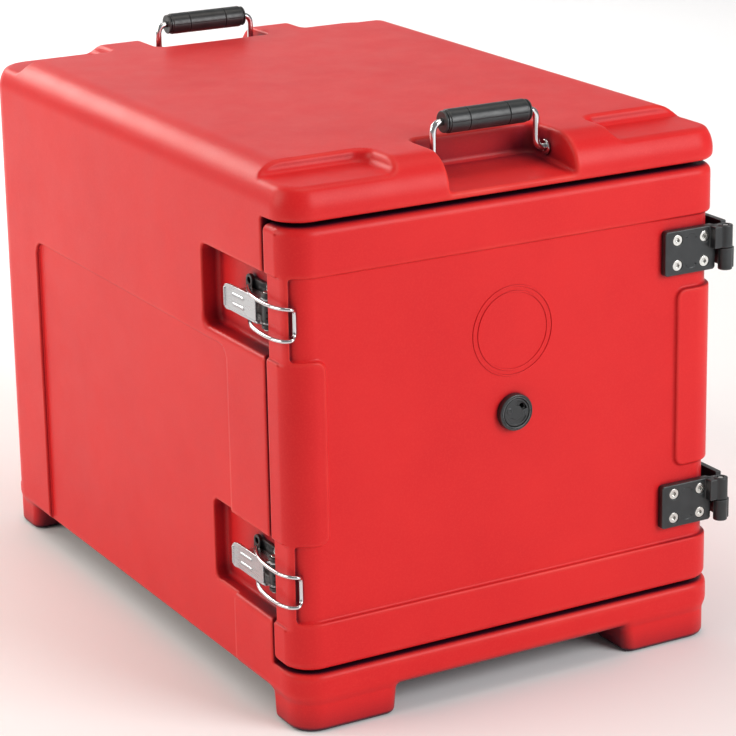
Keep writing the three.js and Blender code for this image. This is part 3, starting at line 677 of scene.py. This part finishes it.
def make_body():
    x_lines = ticks(
        LEFT - 3, RIGHT + 3, 14, 2.1, *both((199, 221), (102, 124), (57, 70)), (-222, -197)
    )
    y_lines = ticks(
        FRONT - 3, BACK + 3, 15, 2.1,
        (FRONT, FRONT + 12), (FRONT + 40, FRONT + 50), (FRONT + 57, FRONT + 74),
        (FRONT + 115, FRONT + 121), (FRONT + 157, FRONT + 164),
        (FRONT + 534, FRONT + 540), (FRONT + 566, FRONT + 592), (BACK - 12, BACK),
    )
    z_lines = ticks(
        FLOOR - 3, TOP + 3, 12, 2.1, (0, 6), (24, 38), (50, 60), (91, 97), (168, 173),
        (319, 325), (329, 335), (403, 408), (424, 432), (447, 494),
    )
    skin = net(body_skin_field, (x_lines, y_lines, z_lines))
    coarse = [
        ticks(low + 1, high - 1, 9, 9, (low, high))
        for low, high in ((LEFT, RIGHT), (FRONT, BACK), (FLOOR, TOP))
    ]
    hollow = net(body_hollow_field, coarse)
    points, faces, normals = (
        np.concatenate([skin[0], hollow[0]]),
        np.concatenate([skin[1], hollow[1] + len(skin[0])]),
        np.concatenate([skin[2], hollow[2]]),
    )
    body = add_object("body_skin", points, faces, normals)
    place(body, "carrier_body", RED, "body_outer_shell")


def liner_field(x, y, z):
    back = FRONT + FLANGE_FRONT + CAVITY_DEPTH
    tub = inter(tunnel_field(x, y, z, 0), FRONT + FLANGE_FRONT - y)
    low, high = span("body_liner")
    flange = prism(
        x, z, y, (low[0], high[0], low[2], high[2]), 14,
        (low[1], FRONT + DOOR_GAP_DEPTH - GAP), (1, 0.4),
    )
    cavity = prism(
        x, z, y, (-CAVITY_HALF, CAVITY_HALF, CAVITY_LOW, CAVITY_HIGH), 9,
        (FRONT + 20, back), (0, 7),
    )
    shell = cut(join(tub, flange, 1.0), cavity, 2.0)
    step = np.clip(np.round((z - RUNNER_FIRST) / RUNNER_PITCH), 0, RUNNER_COUNT - 1)
    runner = prism(
        np.abs(x), z - RUNNER_FIRST - step * RUNNER_PITCH, y,
        (CAVITY_HALF - 7, CAVITY_HALF + 1, -4.5, 4.5), 2,
        (FRONT + 62, FRONT + 570), (3, 3),
    )
    return join(shell, runner, 1.6)


def make_liner():
    x_lines = ticks(-197, 197, 15, 1.3, *both((158, 173), (191, 196)))
    y_lines = ticks(
        FRONT + 40, FRONT + 589, 14, 1.2, (FRONT + 42, FRONT + 50), (FRONT + 60, FRONT + 68),
        (FRONT + 564, FRONT + 588),
    )
    heights = [RUNNER_FIRST + RUNNER_PITCH * i for i in range(RUNNER_COUNT)]
    spots = [(height - 6, height + 6) for height in heights]
    z_lines = ticks(63, 441, 8, 1.5, (64, 68), (79, 88), (420, 429), (436, 440), *spots)
    liner = field_piece("body_liner_tub", liner_field, (x_lines, y_lines, z_lines))
    place(liner, "carrier_body", RED, "body_liner")


# ---- door ----


def door_block(x, y, z):
    plan = rect(x, y, (DOOR_LEFT, DOOR_RIGHT, FRONT, DOOR_REAR), (28, 24, 3, 3))
    return inter(inter(plan, DOOR_LOW - z, 8), z - DOOR_HIGH, 8)


def door_field(x, y, z):
    outer = door_block(x, y, z)
    lowered = inter(slab(z, BAND_LOW, BAND_HIGH), DOOR_LEFT + 7 - x, 3)
    lowered = inter(lowered, -(outer + PANEL_STEP), 2.2)
    left = rect(x, z, (LEFT - 30, -185, 171, 334), 9)
    right = rect(x, z, (171, RIGHT + 30, 173, 339), 9)
    lowered = cut(cut(lowered, left, 2.5), right, 2.5)
    skin = cut(outer, lowered, 2.2)
    for level in LEVELS:
        centre, half = LATCH_Z[level], LATCH_HALF[level]
        notch = prism(
            y, z, x, (FRONT - 30, FRONT + 70, centre - half, centre + half), 7,
            (LEFT - 40, LEFT + 3), (0, 1.5),
        )
        skin = cut(skin, notch, 2.0)
    inside = prism(
        x, y, z, (-212, 208, FRONT + PANEL_STEP + WALL, FRONT + 60), (28, 24, 12, 12),
        (DOOR_LOW + 6, DOOR_HIGH - 6), (1, 1),
    )
    skin = cut(skin, inside, 0.8)
    return cut(skin, disc(x, z, (0, VENT_Z), VENT_BORE), 0.8)


def make_door():
    x_lines = ticks(
        DOOR_LEFT - 3, DOOR_RIGHT + 3, 11, 1.7, (-221, -180), (166, 176), (200, 217), (-15, -10),
        (10, 15),
    )
    y_lines = ticks(
        FRONT - 3, DOOR_REAR + 3, 3, 1.5, (FRONT, FRONT + 10), (FRONT + 38, FRONT + 44)
    )
    z_lines = ticks(
        DOOR_LOW - 3, DOOR_HIGH + 3, 10, 1.7, (56, 68), (90, 106), (166, 178), (240, 245),
        (267, 272), (327, 342), (401, 411), (440, 450),
    )
    door = field_piece("door_skin", door_field, (x_lines, y_lines, z_lines))
    place(door, "door", RED, "door_outer_shell")
    face = FRONT + PANEL_STEP
    for number, radius in enumerate((40, 35), 1):
        ring = turned(
            f"door_emblem_ring_{number}",
            [(radius - 1, 0.6), (radius - 0.6, -0.8), (radius + 0.6, -0.8), (radius + 1, 0.6)],
            "y", (0, face, EMBLEM_Z), 180, 0.3,
        )
        place(ring, "door", RED, "door_outer_shell")


def inner_panel_field(x, y, z):
    front, back = FRONT + 34.8, FRONT + 38
    plate = prism(
        x, z, y, (-211.7, 207.7, DOOR_LOW + 6.3, DOOR_HIGH - 6.3), 6,
        (front, back), (0.6, 0.6),
    )
    plug_box = (-160, 160, CAVITY_LOW + 8, CAVITY_HIGH - 8)
    plug = prism(x, z, y, plug_box, 12, (front, FRONT + 50), (0, 6))
    plug_inside = prism(
        x, z, y, (-157, 157, CAVITY_LOW + 11, CAVITY_HIGH - 11), 9,
        (front - 20, FRONT + 47), (0, 3),
    )
    panel = cut(join(plate, plug, 3.0), plug_inside, 0.6)
    return cut(panel, disc(x, z, (0, VENT_Z), VENT_BORE), 0.8)


def make_inner_panel():
    x_lines = ticks(-214, 210, 14, 1.5, (-213, -207), (203, 209), *both((154, 165), (10, 15)))
    y_lines = ticks(FRONT + 33, FRONT + 52, 1.4, 1.0, (FRONT + 34, FRONT + 51))
    z_lines = ticks(
        61, 445, 14, 1.5, (62, 68), (88, 100), (240, 245), (267, 272), (408, 420), (438, 444)
    )
    panel = field_piece("door_lining", inner_panel_field, (x_lines, y_lines, z_lines))
    place(panel, "door", RED, "door_inner_panel")


def gasket_field(x, y, z):
    low, high = span("door_gasket")
    outer = rect(x, z, (low[0], high[0], low[2], high[2]), 18)
    middle_line = np.abs(outer + 5)
    base = inter(middle_line - 5, slab(y, low[1], low[1] + 1.8), 0.5)
    bead = np.hypot(middle_line, y - (high[1] - 2.2)) - 2.2
    return join(base, bead, 0.8)


def make_gasket():
    x_lines = ticks(-190, 190, 14, 0.9, *both((170, 190)))
    y_lines = ticks(FRONT + 37, FRONT + 44, 0.7, 0.7, (FRONT + 37, FRONT + 44))
    z_lines = ticks(68, 436, 14, 0.9, (69, 89), (415, 435))
    gasket = field_piece("door_seal_ring", gasket_field, (x_lines, y_lines, z_lines))
    place(gasket, "door", RUBBER, "door_gasket")


# ---- vent ----

PORT = (8 * math.cos(math.pi / 5), 8 * math.sin(math.pi / 5))
PORT_RADIUS = 2.4
PIP = (-7.2, 2.2)


def vent_housing_field(x, y, z):
    r, w = np.hypot(x, z - VENT_Z), y - FRONT
    bezel = inter(inter(r - 16.5, -2.3 - w, 1.4), w - (PANEL_STEP - GAP), 0.3)
    bezel = cut(bezel, inter(np.abs(r - 14.6) - 0.35, w + 1.9, 0.1), 0.2)
    tube = inter(inter(r - 12.2, 1.5 - w), w - 49.5, 0.6)
    vent = join(bezel, tube)
    vent = cut(vent, inter(r - 13, w - 1.5, 0.2), 0.5)
    vent = cut(vent, inter(r - 10.6, 4.5 - w, 0.5), 0.5)
    seat = inter(inter(13.4 - r, r - 15.2), 2.6 - w, 0.1)
    vent = cut(vent, seat)
    return cut(vent, disc(x, z, (PORT[0], VENT_Z + PORT[1]), PORT_RADIUS), 0.3)


def vent_disc_field(x, y, z):
    u, v, w = x, z - VENT_Z, y - FRONT
    r = np.hypot(u, v)
    plate = inter(inter(r - 12.6, -1.9 - w, 0.8), w - 1.2, 0.3)
    angle = np.degrees(np.arctan2(v, u))
    arc = np.maximum(np.abs(r - 8.6) - 2.3, (np.abs(angle - 52) - 38) * math.pi / 180 * 8.6)
    plate = cut(plate, inter(arc, w - 0.5, 0.4), 0.3)
    low_ring = inter(inter(inter(r - 10.4, 6 - r), v + 4), w + 1.2, 0.3)
    plate = cut(plate, low_ring, 0.3)
    pip = inter(inter(disc(u, v, PIP, 2.9), -2.3 - w, 0.7), w, 0)
    pip = cut(pip, inter(disc(u, v, PIP, 1.5), w + 1.8, 0.4), 0.3)
    for reach, height in ((6.6, -1.6), (8.4, -0.4), (5.6, 0.6)):
        bar = rect(u, v, (reach - 0.45, reach + 0.45, height - 1.1, height + 1.1), 0.4)
        plate = join(plate, inter(inter(bar, -2.15 - w, 0.2), w, 0), 0.1)
    plate = join(plate, pip, 0.3)
    return cut(plate, disc(u, v, PORT, PORT_RADIUS), 0.3)


def make_vent():
    fine = 0.42
    side = ticks(-17.5, 17.5, fine, fine, (-18, 18))
    up = side + VENT_Z
    depth = ticks(
        FRONT - 3.2, FRONT + 50.5, 3, fine, (FRONT - 3, FRONT + 6), (FRONT + 48.5, FRONT + 50)
    )
    housing = field_piece("vent_bezel", vent_housing_field, (side, depth, up))
    place(housing, "door", BLACK, "vent_housing")
    side = ticks(-13.4, 13.4, 0.3, 0.3, (-14, 14))
    depth = ticks(FRONT - 3, FRONT + 2, 0.3, 0.3, (FRONT - 3, FRONT + 2))
    rotor = field_piece("vent_dial", vent_disc_field, (side, depth, side + VENT_Z))
    place(rotor, "vent_disc", BLACK, "vent_rotary_disc")
    seal = turned(
        "vent_seal_ring", [(13.6, 0), (15.0, 0), (15.0, 1), (13.6, 1)], "y",
        (0, span("vent_seal")[0][1], VENT_Z), 96, 0.3,
    )
    place(seal, "door", RUBBER, "vent_seal")


# ---- hinges ----


def screw_spots(level, side):
    """Places of one hinge leaf's screws, from the boxes of their CAD nodes."""
    count = 4 if side == "door" else 2
    return [middle(f"{level}_hinge_{side}_screw_{i + 1}") for i in range(count)]


def countersink(r, deep):
    """Well and cone for a screw head, at r from its axis and deep into the plate."""
    side = r - SCREW_WELL
    return np.minimum(np.maximum(side, deep), np.maximum(side, side + deep * 0.85))


def door_leaf_field(level):
    low, high = span(f"{level}_hinge_door_leaf")
    pin = middle(f"{level}_hinge_pin")
    spots = screw_spots(level, "door")
    centre = HINGE_Z[level]
    face = FRONT - 2.7

    def field(x, y, z):
        plate = prism(
            x, z, y, (low[0], 209, low[2], high[2]), 3,
            (face, FRONT + PANEL_STEP - GAP), (1.2, 0.2),
        )
        dish = prism(
            x, z, y, (low[0] + 22, 188, low[2] + 5, high[2] - 5), 5,
            (face - 5, face + 0.35), (0, 0.3),
        )
        plate = cut(plate, dish, 0.4)
        neck = prism(
            x, y, z, (203, pin[0], pin[1] - 3.5, FRONT + 1.5), 1,
            (centre + GAP, high[2] - 0.6), (0.4, 0.8),
        )
        barrel = drum(x, y, z, pin[:2], HINGE_BARREL, (centre + GAP, high[2]), (0.5, 0.9))
        leaf = join(join(plate, neck, 1.4), barrel, 1.2)
        leaf = cut(leaf, np.maximum(209.2 - x, z - centre - GAP), 0.3)
        for sx, _, sz in spots:
            r = disc(x, z, (sx, sz), 0)
            leaf = cut(leaf, countersink(r, y - face - 0.5), 0.35)
            leaf = cut(leaf, r - 2.8, 0.2)
        return cut(leaf, disc(x, y, pin[:2], HINGE_BORE), 0.4)

    grid = (
        ticks(low[0] - 1, high[0] + 1, 2.2, 0.62, *[(s[0] - 6, s[0] + 6) for s in spots],
              (low[0], low[0] + 3), (205, high[0])),
        ticks(low[1] - 1, high[1] + 1, 0.8, 0.6, (low[1], high[1])),
        ticks(centre - 21.5, centre + 21.5, 1.8, 0.62, *[(s[2] - 6, s[2] + 6) for s in spots],
              (centre - 21, centre - 18), (centre - 1, centre + 1), (centre + 18, centre + 21)),
    )
    return field, grid


def body_leaf_field(level):
    low, high = span(f"{level}_hinge_body_leaf")
    pin = middle(f"{level}_hinge_pin")
    spots = screw_spots(level, "body")
    centre = HINGE_Z[level]
    face = RIGHT + 6.5

    def field(x, y, z):
        plate = prism(
            y, z, x, (FRONT - 5, FRONT + 95, low[2], high[2]), 3,
            (RIGHT + 0.5, face), (0.2, 1.2),
        )
        relief = np.maximum(y - (FRONT + 6), centre - GAP - z)
        rib = prism(
            y, z, x, (FRONT + 12, FRONT + 60, centre - 12, centre + 12), 5,
            (face - 0.5, face + 10), (0.3, 0),
        )
        plate = cut(plate, rib, 0.5)
        neck = prism(
            x, y, z, (pin[0], RIGHT + 5, pin[1] - 2, FRONT - 0.5), 0.8,
            (low[2] + 0.8, centre - GAP), (0.8, 0.4),
        )
        barrel = drum(x, y, z, pin[:2], HINGE_BARREL, (low[2], centre - GAP), (0.9, 0.5))
        leaf = cut(join(join(plate, neck, 1.0), barrel, 1.0), relief, 0.4)
        for _, sy, sz in spots:
            r = disc(y, z, (sy, sz), 0)
            leaf = cut(leaf, countersink(r, face - 0.5 - x), 0.35)
            leaf = cut(leaf, r - 2.8, 0.2)
        return cut(leaf, disc(x, y, pin[:2], HINGE_BORE), 0.4)

    grid = (
        ticks(low[0] - 1, high[0] + 1, 0.8, 0.6, (low[0], high[0])),
        ticks(low[1] - 1, high[1] + 1, 2.4, 0.62, (low[1], FRONT + 8),
              *[(s[1] - 6, s[1] + 6) for s in spots], (FRONT + 92, FRONT + 95)),
        ticks(low[2] - 1, high[2] + 1, 1.8, 0.62, *[(s[2] - 6, s[2] + 6) for s in spots],
              (centre - 21, centre - 18), (centre - 2, centre + 1), (centre + 18, centre + 21)),
    )
    return field, grid


def screw_mesh(name, head, shank, length, socket, turn, centre):
    """Countersunk screw with a six-sided socket. Its head looks towards -Y before the turn."""

    def field(x, y, z):
        r = np.hypot(x, z)
        cone = inter(inter(r - head, -y, 0.35), r - head + (y - 0.9) * 0.95, 0.25)
        cone = inter(cone, y - head + shank)
        body = inter(inter(r - shank, -y), y - length, 0.5)
        thread = 0.12 * np.cos(2 * math.pi * y / 1.1)
        body = body + np.where(y > head - shank + 1, thread, 0)
        angle = np.arctan2(z, x)
        sector = np.mod(angle, math.pi / 3) - math.pi / 6
        hexagon = r * np.cos(sector) - socket
        return cut(join(cone, body), inter(hexagon, y - 1.8, 0.3), 0.25)

    fine = head / 13
    side = ticks(-head - 0.4, head + 0.4, fine, fine, (-head, head))
    along = ticks(-0.4, length + 0.5, 0.5, fine, (-0.4, 3), (length - 1, length))
    points, faces, normals = net(field, (side, along, side))
    rotation = np.array(Matrix.Rotation(turn, 3, "Z"))
    return add_object(
        name, points @ rotation.T + centre, faces, normals @ rotation.T
    )


HEAD_SIDES = {
    "front": (1, 0, 0.0),
    "right": (0, 1, math.pi / 2),
    "left": (0, 0, -math.pi / 2),
}


def fit_screw(node, body, facing, head, shank, socket):
    """Detailed screw in the box of its CAD node, its head facing one side."""
    axis, end, turn = HEAD_SIDES[facing]
    box = span(node)
    centre = (box[0] + box[1]) / 2
    centre[axis] = box[end][axis]
    length = box[1][axis] - box[0][axis]
    screw = screw_mesh(f"{node}_fine", head, shank, length, socket, turn, centre)
    place(screw, body, SCREW_STEEL, node)


def make_hinges():
    for level in LEVELS:
        field, grid = door_leaf_field(level)
        leaf = field_piece(f"{level}_hinge_door_plate", field, grid)
        place(leaf, "door", BLACK, f"{level}_hinge_door_leaf")
        field, grid = body_leaf_field(level)
        leaf = field_piece(f"{level}_hinge_body_plate", field, grid)
        place(leaf, "carrier_body", BLACK, f"{level}_hinge_body_leaf")
        low, high = span(f"{level}_hinge_pin")
        half = (high[2] - low[2]) / 2
        pin = turned(
            f"{level}_hinge_axle",
            [(0.01, -half), (2.4, -half), (3, -half + 0.6), (3, half - 0.6), (2.4, half),
             (0.01, half)],
            "z", middle(f"{level}_hinge_pin"), 48, 0.25,
        )
        place(pin, "carrier_body", SCREW_STEEL, f"{level}_hinge_pin")
        for number in range(1, 5):
            fit_screw(f"{level}_hinge_door_screw_{number}", "door", "front", 5, 2.4, 1.9)
        for number in range(1, 3):
            node = f"{level}_hinge_body_screw_{number}"
            fit_screw(node, "carrier_body", "right", 5, 2.4, 1.9)


# ---- latches ----

PIVOT = {level: middle(f"{level}_latch_pivot_pin") for level in LEVELS}
BAIL_Y = FRONT + 88


def latch_plate_field(level):
    """Back plate on the recess floor, with an ear for a padlock."""
    zc = LATCH_Z[level]
    back, floor = LATCH_FLOOR - GAP, LATCH_FLOOR - 3.2
    spots = [middle(f"{level}_latch_screw_{number}") for number in (1, 2)]

    def field(x, y, z):
        plate = prism(
            y, z, x, (FRONT + 48.5, FRONT + 95, zc - 19.5, zc + 19.5), 3,
            (floor, back), (0.6, 0.2),
        )
        ear = prism(
            y, z, x, (FRONT + 87, FRONT + 99, zc + 8, zc + 22.5), (1, 1, 5.6, 5.6),
            (LATCH_FLOOR - 6.2, floor + 0.4), (0.8, 0),
        )
        ear = cut(ear, disc(y, z, (FRONT + 93, zc + 17), 2.9), 0.7)
        plate = join(plate, ear, 0.4)
        for _, sy, sz in spots:
            r = disc(y, z, (sy, sz), 0)
            plate = cut(plate, np.maximum(r - 3.6, x - floor + r - 3.4), 0.2)
            plate = cut(plate, r - 1.8, 0.2)
        return plate

    grid = (
        ticks(LATCH_FLOOR - 7, LATCH_FLOOR + 0.5, 0.45, 0.45, (LATCH_FLOOR - 7, LATCH_FLOOR)),
        ticks(FRONT + 47.6, FRONT + 100, 1.5, 0.5, (FRONT + 47, FRONT + 51),
              (FRONT + 60, FRONT + 69), (FRONT + 86, FRONT + 100)),
        ticks(zc - 20.4, zc + 23.4, 1.5, 0.5, (zc - 20, zc - 11), (zc + 8, zc + 23)),
    )
    return field, grid


def latch_block_field(level):
    """Black pivot block between the lever's walls, and an ear outside each of them."""
    zc = LATCH_Z[level]
    px, py = PIVOT[level][:2]
    plan = (LATCH_FLOOR - 13.6, LATCH_FLOOR - 3.0, FRONT + 48.6, FRONT + 59.4)

    def field(x, y, z):
        dz = z - zc
        ear = prism(x, y, np.abs(dz), plan, (4, 0.6, 0.6, 4), (12, 15.5), (0.4, 0.7))
        middle_part = prism(x, y, dz, plan, (4, 0.6, 0.6, 4), (-9.1, 9.1), (0.5, 0.5))
        foot = prism(
            x, y, dz, (LATCH_FLOOR - 4.6, LATCH_FLOOR - 3.25, FRONT + 48.8, FRONT + 62),
            0.4, (-11.6, 11.6), (0.3, 0.3),
        )
        block = join(join(ear, middle_part), foot, 0.4)
        for height in (-5.2, 0, 5.2):
            slot = np.maximum(np.abs(dz - height) - 0.7, np.abs(x - px + 1.5) - 3.2)
            block = cut(block, np.maximum(slot, np.abs(y - plan[2]) - 1.3), 0.25)
        return cut(block, disc(x, y, (px, py), LEVER_BORE), 0.3)

    grid = (
        ticks(plan[0] - 0.8, plan[1] + 0.8, 0.5, 0.5, (plan[0], plan[1])),
        ticks(FRONT + 47.8, FRONT + 62.8, 0.5, 0.5, (FRONT + 48, FRONT + 62)),
        ticks(zc - 16.4, zc + 16.4, 0.55, 0.55, (zc - 16, zc + 16)),
    )
    return field, grid


def latch_lever_field(level):
    """Pressed lever: channel sides, two embossed ribs and an end that curls outwards."""
    zc = LATCH_Z[level]
    low, high = span(f"{level}_latch_lever")
    px, py = PIVOT[level][:2]
    face, under, end = -219.0, -216.8, high[1]

    def field(x, y, z):
        dz = np.abs(z - zc)
        curl = 2.2 * np.clip((y - end + 9) / 9, 0, 1) ** 1.6
        plate = inter(inter(dz - 11.5, FRONT + 61 - y, 2), y - end, 3.8)
        plate = inter(inter(plate, face - x - curl, 0.35), x - under + curl, 0.25)
        walls = prism(
            x, y, dz, (face, -206.5, FRONT + 58, FRONT + 93), (1, 1, 4.5, 1), (9.5, 11.5),
            (0.3, 0.6),
        )
        near = prism(
            x, y, dz, (px - 4.5, px + 4.5, py - 4.5, FRONT + 62), (4.4, 4.4, 1, 1),
            (9.5, 11.5), (0.3, 0.6),
        )
        lever = join(plate, join(walls, near, 1.0), 0.6)
        rib = np.hypot(np.maximum(np.abs(y - FRONT - 92.5) - 9.5, 0), dz - 4.3)
        lever = join(lever, np.hypot(rib, (x - face - 0.1) * 1.2) - 1.4, 0.4)
        roll = disc(x, y, (low[0] + 1.25, end - 1.2), 1.2)
        lever = join(lever, inter(roll, dz - 8.2, 0.8), 0.5)
        lever = cut(lever, disc(x, y, (px, py), LEVER_BORE), 0.2)
        return cut(lever, disc(x, y, (px, BAIL_Y), LATCH_WIRE + 0.3), 0.2)

    grid = (
        ticks(low[0] - 0.8, high[0] + 0.8, 0.8, 0.42, (low[0], under + 0.5)),
        ticks(low[1] - 0.8, high[1] + 0.8, 0.9, 0.5, (low[1], FRONT + 63),
              (FRONT + 80, high[1] + 1)),
        ticks(low[2] - 0.8, high[2] + 0.8, 0.6, 0.48, (low[2], high[2])),
    )
    return field, grid


def bail_corners(level):
    """Corner points of the bail wire, hooked round the edge of the door."""
    zc, (px, _) = LATCH_Z[level], PIVOT[level][:2]
    side = [(px, 88, 9.8), (px, 88, 14), (-217, 76, 14), (-223, 60, 14), (-225.3, 38, 14),
            (-224, 18, 14), (-219.5, 8.4, 14), (-214, 5.0, 13.4), (-210.4, 8.0, 11.6),
            (-209.5, 9, 8)]
    upper = [(x, FRONT + y, zc + dz) for x, y, dz in side]
    lower = [(x, FRONT + y, zc - dz) for x, y, dz in reversed(side)]
    return upper + lower


def make_latches():
    for level in LEVELS:
        base = f"{level}_latch_base"
        plate = field_piece(f"{level}_latch_plate", *latch_plate_field(level))
        place(plate, "carrier_body", BLACK, base)
        block = field_piece(f"{level}_latch_block", *latch_block_field(level))
        place(block, "carrier_body", BLACK, base)
        node = f"{level}_latch_lever"
        lever = field_piece(f"{level}_latch_pull", *latch_lever_field(level))
        place(lever, node, SHEET_STEEL, node)
        node = f"{level}_latch_bail"
        bail = wire(f"{level}_latch_wire", bail_corners(level), 12, LATCH_WIRE, 20, 1.2)
        place(bail, node, WIRE_STEEL, node)
        pin = turned(
            f"{level}_latch_axle",
            [(0.01, -17), (2.7, -17), (3.2, -16.6), (3.2, -15.8), (2.2, -15.8), (2.2, 15.8),
             (3.2, 15.8), (3.2, 16.6), (2.7, 17), (0.01, 17)],
            "z", PIVOT[level], 40, 0.15,
        )
        place(pin, "carrier_body", SCREW_STEEL, f"{level}_latch_pivot_pin")
        for number in (1, 2):
            node = f"{level}_latch_screw_{number}"
            fit_screw(node, "carrier_body", "left", 3.2, 1.6, 1.25)


# ---- carrying handles ----


def make_handles():
    for end in ENDS:
        y = HANDLE_Y[end]
        tip = span(f"{end}_handle_bail")[1][0]
        half = span(f"{end}_handle_bush_right")[0][0] - 8.1
        corners = [(-tip, y, PIVOT_Z), (-half, y, PIVOT_Z), (-half, y, GRIP_Z),
                   (half, y, GRIP_Z), (half, y, PIVOT_Z), (tip, y, PIVOT_Z)]
        bail = wire(f"{end}_handle_wire", corners, 9, HANDLE_WIRE, 28, 3)
        place(bail, f"{end}_handle", WIRE_STEEL, f"{end}_handle_bail")
        reach = span(f"{end}_handle_grip")[1][0]
        grid = (
            ticks(-reach - 1, reach + 1, 2.4, 0.5, *both((18.5, 21.5), (reach - 6, reach))),
            ticks(y - 11.5, y + 11.5, 0.6, 0.6, (y - 12, y + 12)),
            ticks(GRIP_Z - 11.5, GRIP_Z + 11.5, 0.6, 0.6, (GRIP_Z - 12, GRIP_Z + 12)),
        )
        grip = field_piece(f"{end}_handle_grip_sleeve", grip_field(y, reach), grid)
        place(grip, f"{end}_handle", BLACK, f"{end}_handle_grip")
        for side, name in ((-1, "left"), (1, "right")):
            node = f"{end}_handle_bush_{name}"
            low, high = span(node)
            inner, outer = (low[0], high[0]) if side > 0 else (high[0], low[0])
            bush = turned(
                f"{end}_handle_eye_{name}",
                [(HANDLE_SOCKET, inner), (6.0, inner), (6.8, inner + side * 0.8),
                 (6.8, outer), (HANDLE_SOCKET, outer)],
                "x", (0, y, PIVOT_Z), 48, 0.35,
            )
            place(bush, "carrier_body", WIRE_STEEL, node)


def grip_field(yc, reach):
    """Moulded grip: end collars, two grooves and a fine parting line."""

    def field(x, y, z):
        along = np.abs(x)
        r = np.hypot(y - yc, z - GRIP_Z)
        sleeve = inter(r - 10.5, along - (reach - 4.4), 0.5)
        collar = inter(r - 9.7, along - reach, 1.0)
        grip = join(sleeve, collar, 0.2)
        groove = np.maximum(np.abs(along - 20) - 0.45, 9.8 - r)
        grip = cut(grip, groove, 0.25)
        slot = np.maximum(np.abs(along - (reach - 2.2)) - 0.45, 8.7 - r)
        grip = cut(grip, slot, 0.2)
        seam = np.maximum(np.abs(z - GRIP_Z) - 0.2, 10.3 - r)
        grip = cut(grip, seam, 0.1)
        return cut(grip, r - HANDLE_BORE, 0.4)

    return field


# ---- carried-over CAD nodes ----


def dress_foam():
    for node in ("body_foam_core", "door_foam_core"):
        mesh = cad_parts[node].data
        mesh.materials.clear()
        mesh.materials.append(FOAM)


# ---- studio ----


def studio_floor():
    """Pale floor that curves up into a backdrop far behind the carrier."""
    run = [(-6.0, 0.0), (3.0, 0.0)]
    run += [
        (3.0 + 2.0 * math.sin(a), 2.0 - 2.0 * math.cos(a))
        for a in np.linspace(0.05, math.pi / 2, 20)
    ]
    run.append((5.0, 6.0))
    points = [(x / MM, y / MM, z / MM) for y, z in run for x in (-7.0, 7.0)]
    faces = [(2 * i, 2 * i + 1, 2 * i + 3, 2 * i + 2) for i in range(len(run) - 1)]
    floor = add_object("studio_floor", points, faces)
    surface, tree, shader = new_surface("studio_paper", (0.93, 0.93, 0.94), 0.85)
    tone = ramp(tree, noise(tree, 3, 2), [(0.0, 0.0), (1.0, 1.0)])
    colour = blend(tree, tone, (0.925, 0.925, 0.935), (0.94, 0.94, 0.945))
    tree.links.new(colour, shader.inputs["Base Color"])
    floor.data.materials.append(surface)


def area_light(name, place_at, target, size, power, colour=(1, 1, 1)):
    data = bpy.data.lights.new(name, "AREA")
    data.shape = "RECTANGLE"
    data.size, data.size_y = size
    data.energy = power
    data.color = colour
    light = bpy.data.objects.new(name, data)
    light.location = place_at
    light.rotation_mode = "QUATERNION"
    aim = Vector(target) - Vector(place_at)
    light.rotation_quaternion = aim.to_track_quat("-Z", "Y")
    bpy.context.scene.collection.objects.link(light)


def studio_lights():
    world = bpy.data.worlds.new("studio_world")
    world.use_nodes = True
    background = world.node_tree.nodes["Background"]
    background.inputs["Color"].default_value = (1.0, 1.0, 1.0, 1)
    background.inputs["Strength"].default_value = 0.26
    bpy.context.scene.world = world
    warm, paler = (1, 0.93, 0.84), (1, 0.94, 0.87)
    area_light("left_box", (-2.8, 0.9, 1.5), (-0.2, 0, 0.25), (1.8, 1.8), 46, warm)
    area_light("right_front_box", (1.3, -2.5, 1.5), (0, -0.3, 0.25), (1.6, 1.6), 58)
    area_light("back_left_box", (-0.9, 2.9, 1.75), (-0.15, 0.1, 0.4), (1.5, 1.1), 42, paler)
    area_light("top_box", (0.3, -0.2, 2.6), (0, 0, 0.4), (1.5, 1.5), 16, warm)
    area_light("sweep_box", (0.8, 1.9, 2.6), (1.6, 4.4, 0.2), (3.0, 0.8), 60)


CAMERA = {
    "place": (-1.2172, -2.2376, 1.0228),
    "yaw": 29.135,
    "pitch": 16.259,
    "roll": -1.035,
    "focal_pixels": 2763,
    "centre_pixel_y": 300.0,
}
FRAME_PIXELS = 736


def photo_camera():
    """Camera at the photograph's viewing angle."""
    data = bpy.data.cameras.new("photo_camera")
    camera = bpy.data.objects.new("photo_camera", data)
    yaw, pitch, roll = (math.radians(CAMERA[k]) for k in ("yaw", "pitch", "roll"))
    forward = Vector(
        (math.sin(yaw) * math.cos(pitch), math.cos(yaw) * math.cos(pitch), -math.sin(pitch))
    )
    right = Vector((math.cos(yaw), -math.sin(yaw), 0))
    up = right.cross(forward)
    across = right * math.cos(roll) + up * math.sin(roll)
    upward = up * math.cos(roll) - right * math.sin(roll)
    camera.matrix_world = Matrix.Translation(CAMERA["place"]) @ Matrix(
        (across, upward, -forward)
    ).transposed().to_4x4()
    data.sensor_width = 36
    data.lens = CAMERA["focal_pixels"] / FRAME_PIXELS * data.sensor_width
    data.shift_y = (CAMERA["centre_pixel_y"] - FRAME_PIXELS / 2) / FRAME_PIXELS
    data.clip_start, data.clip_end = 0.05, 50
    bpy.context.scene.collection.objects.link(camera)
    bpy.context.scene.camera = camera


# ---- assembly ----

make_body()
make_liner()
make_door()
make_inner_panel()
make_gasket()
make_vent()
make_hinges()
make_latches()
make_handles()
dress_foam()
studio_floor()
studio_lights()
photo_camera()
bpy.context.scene.view_settings.view_transform = "Standard"

bpy.context.view_layer.update()
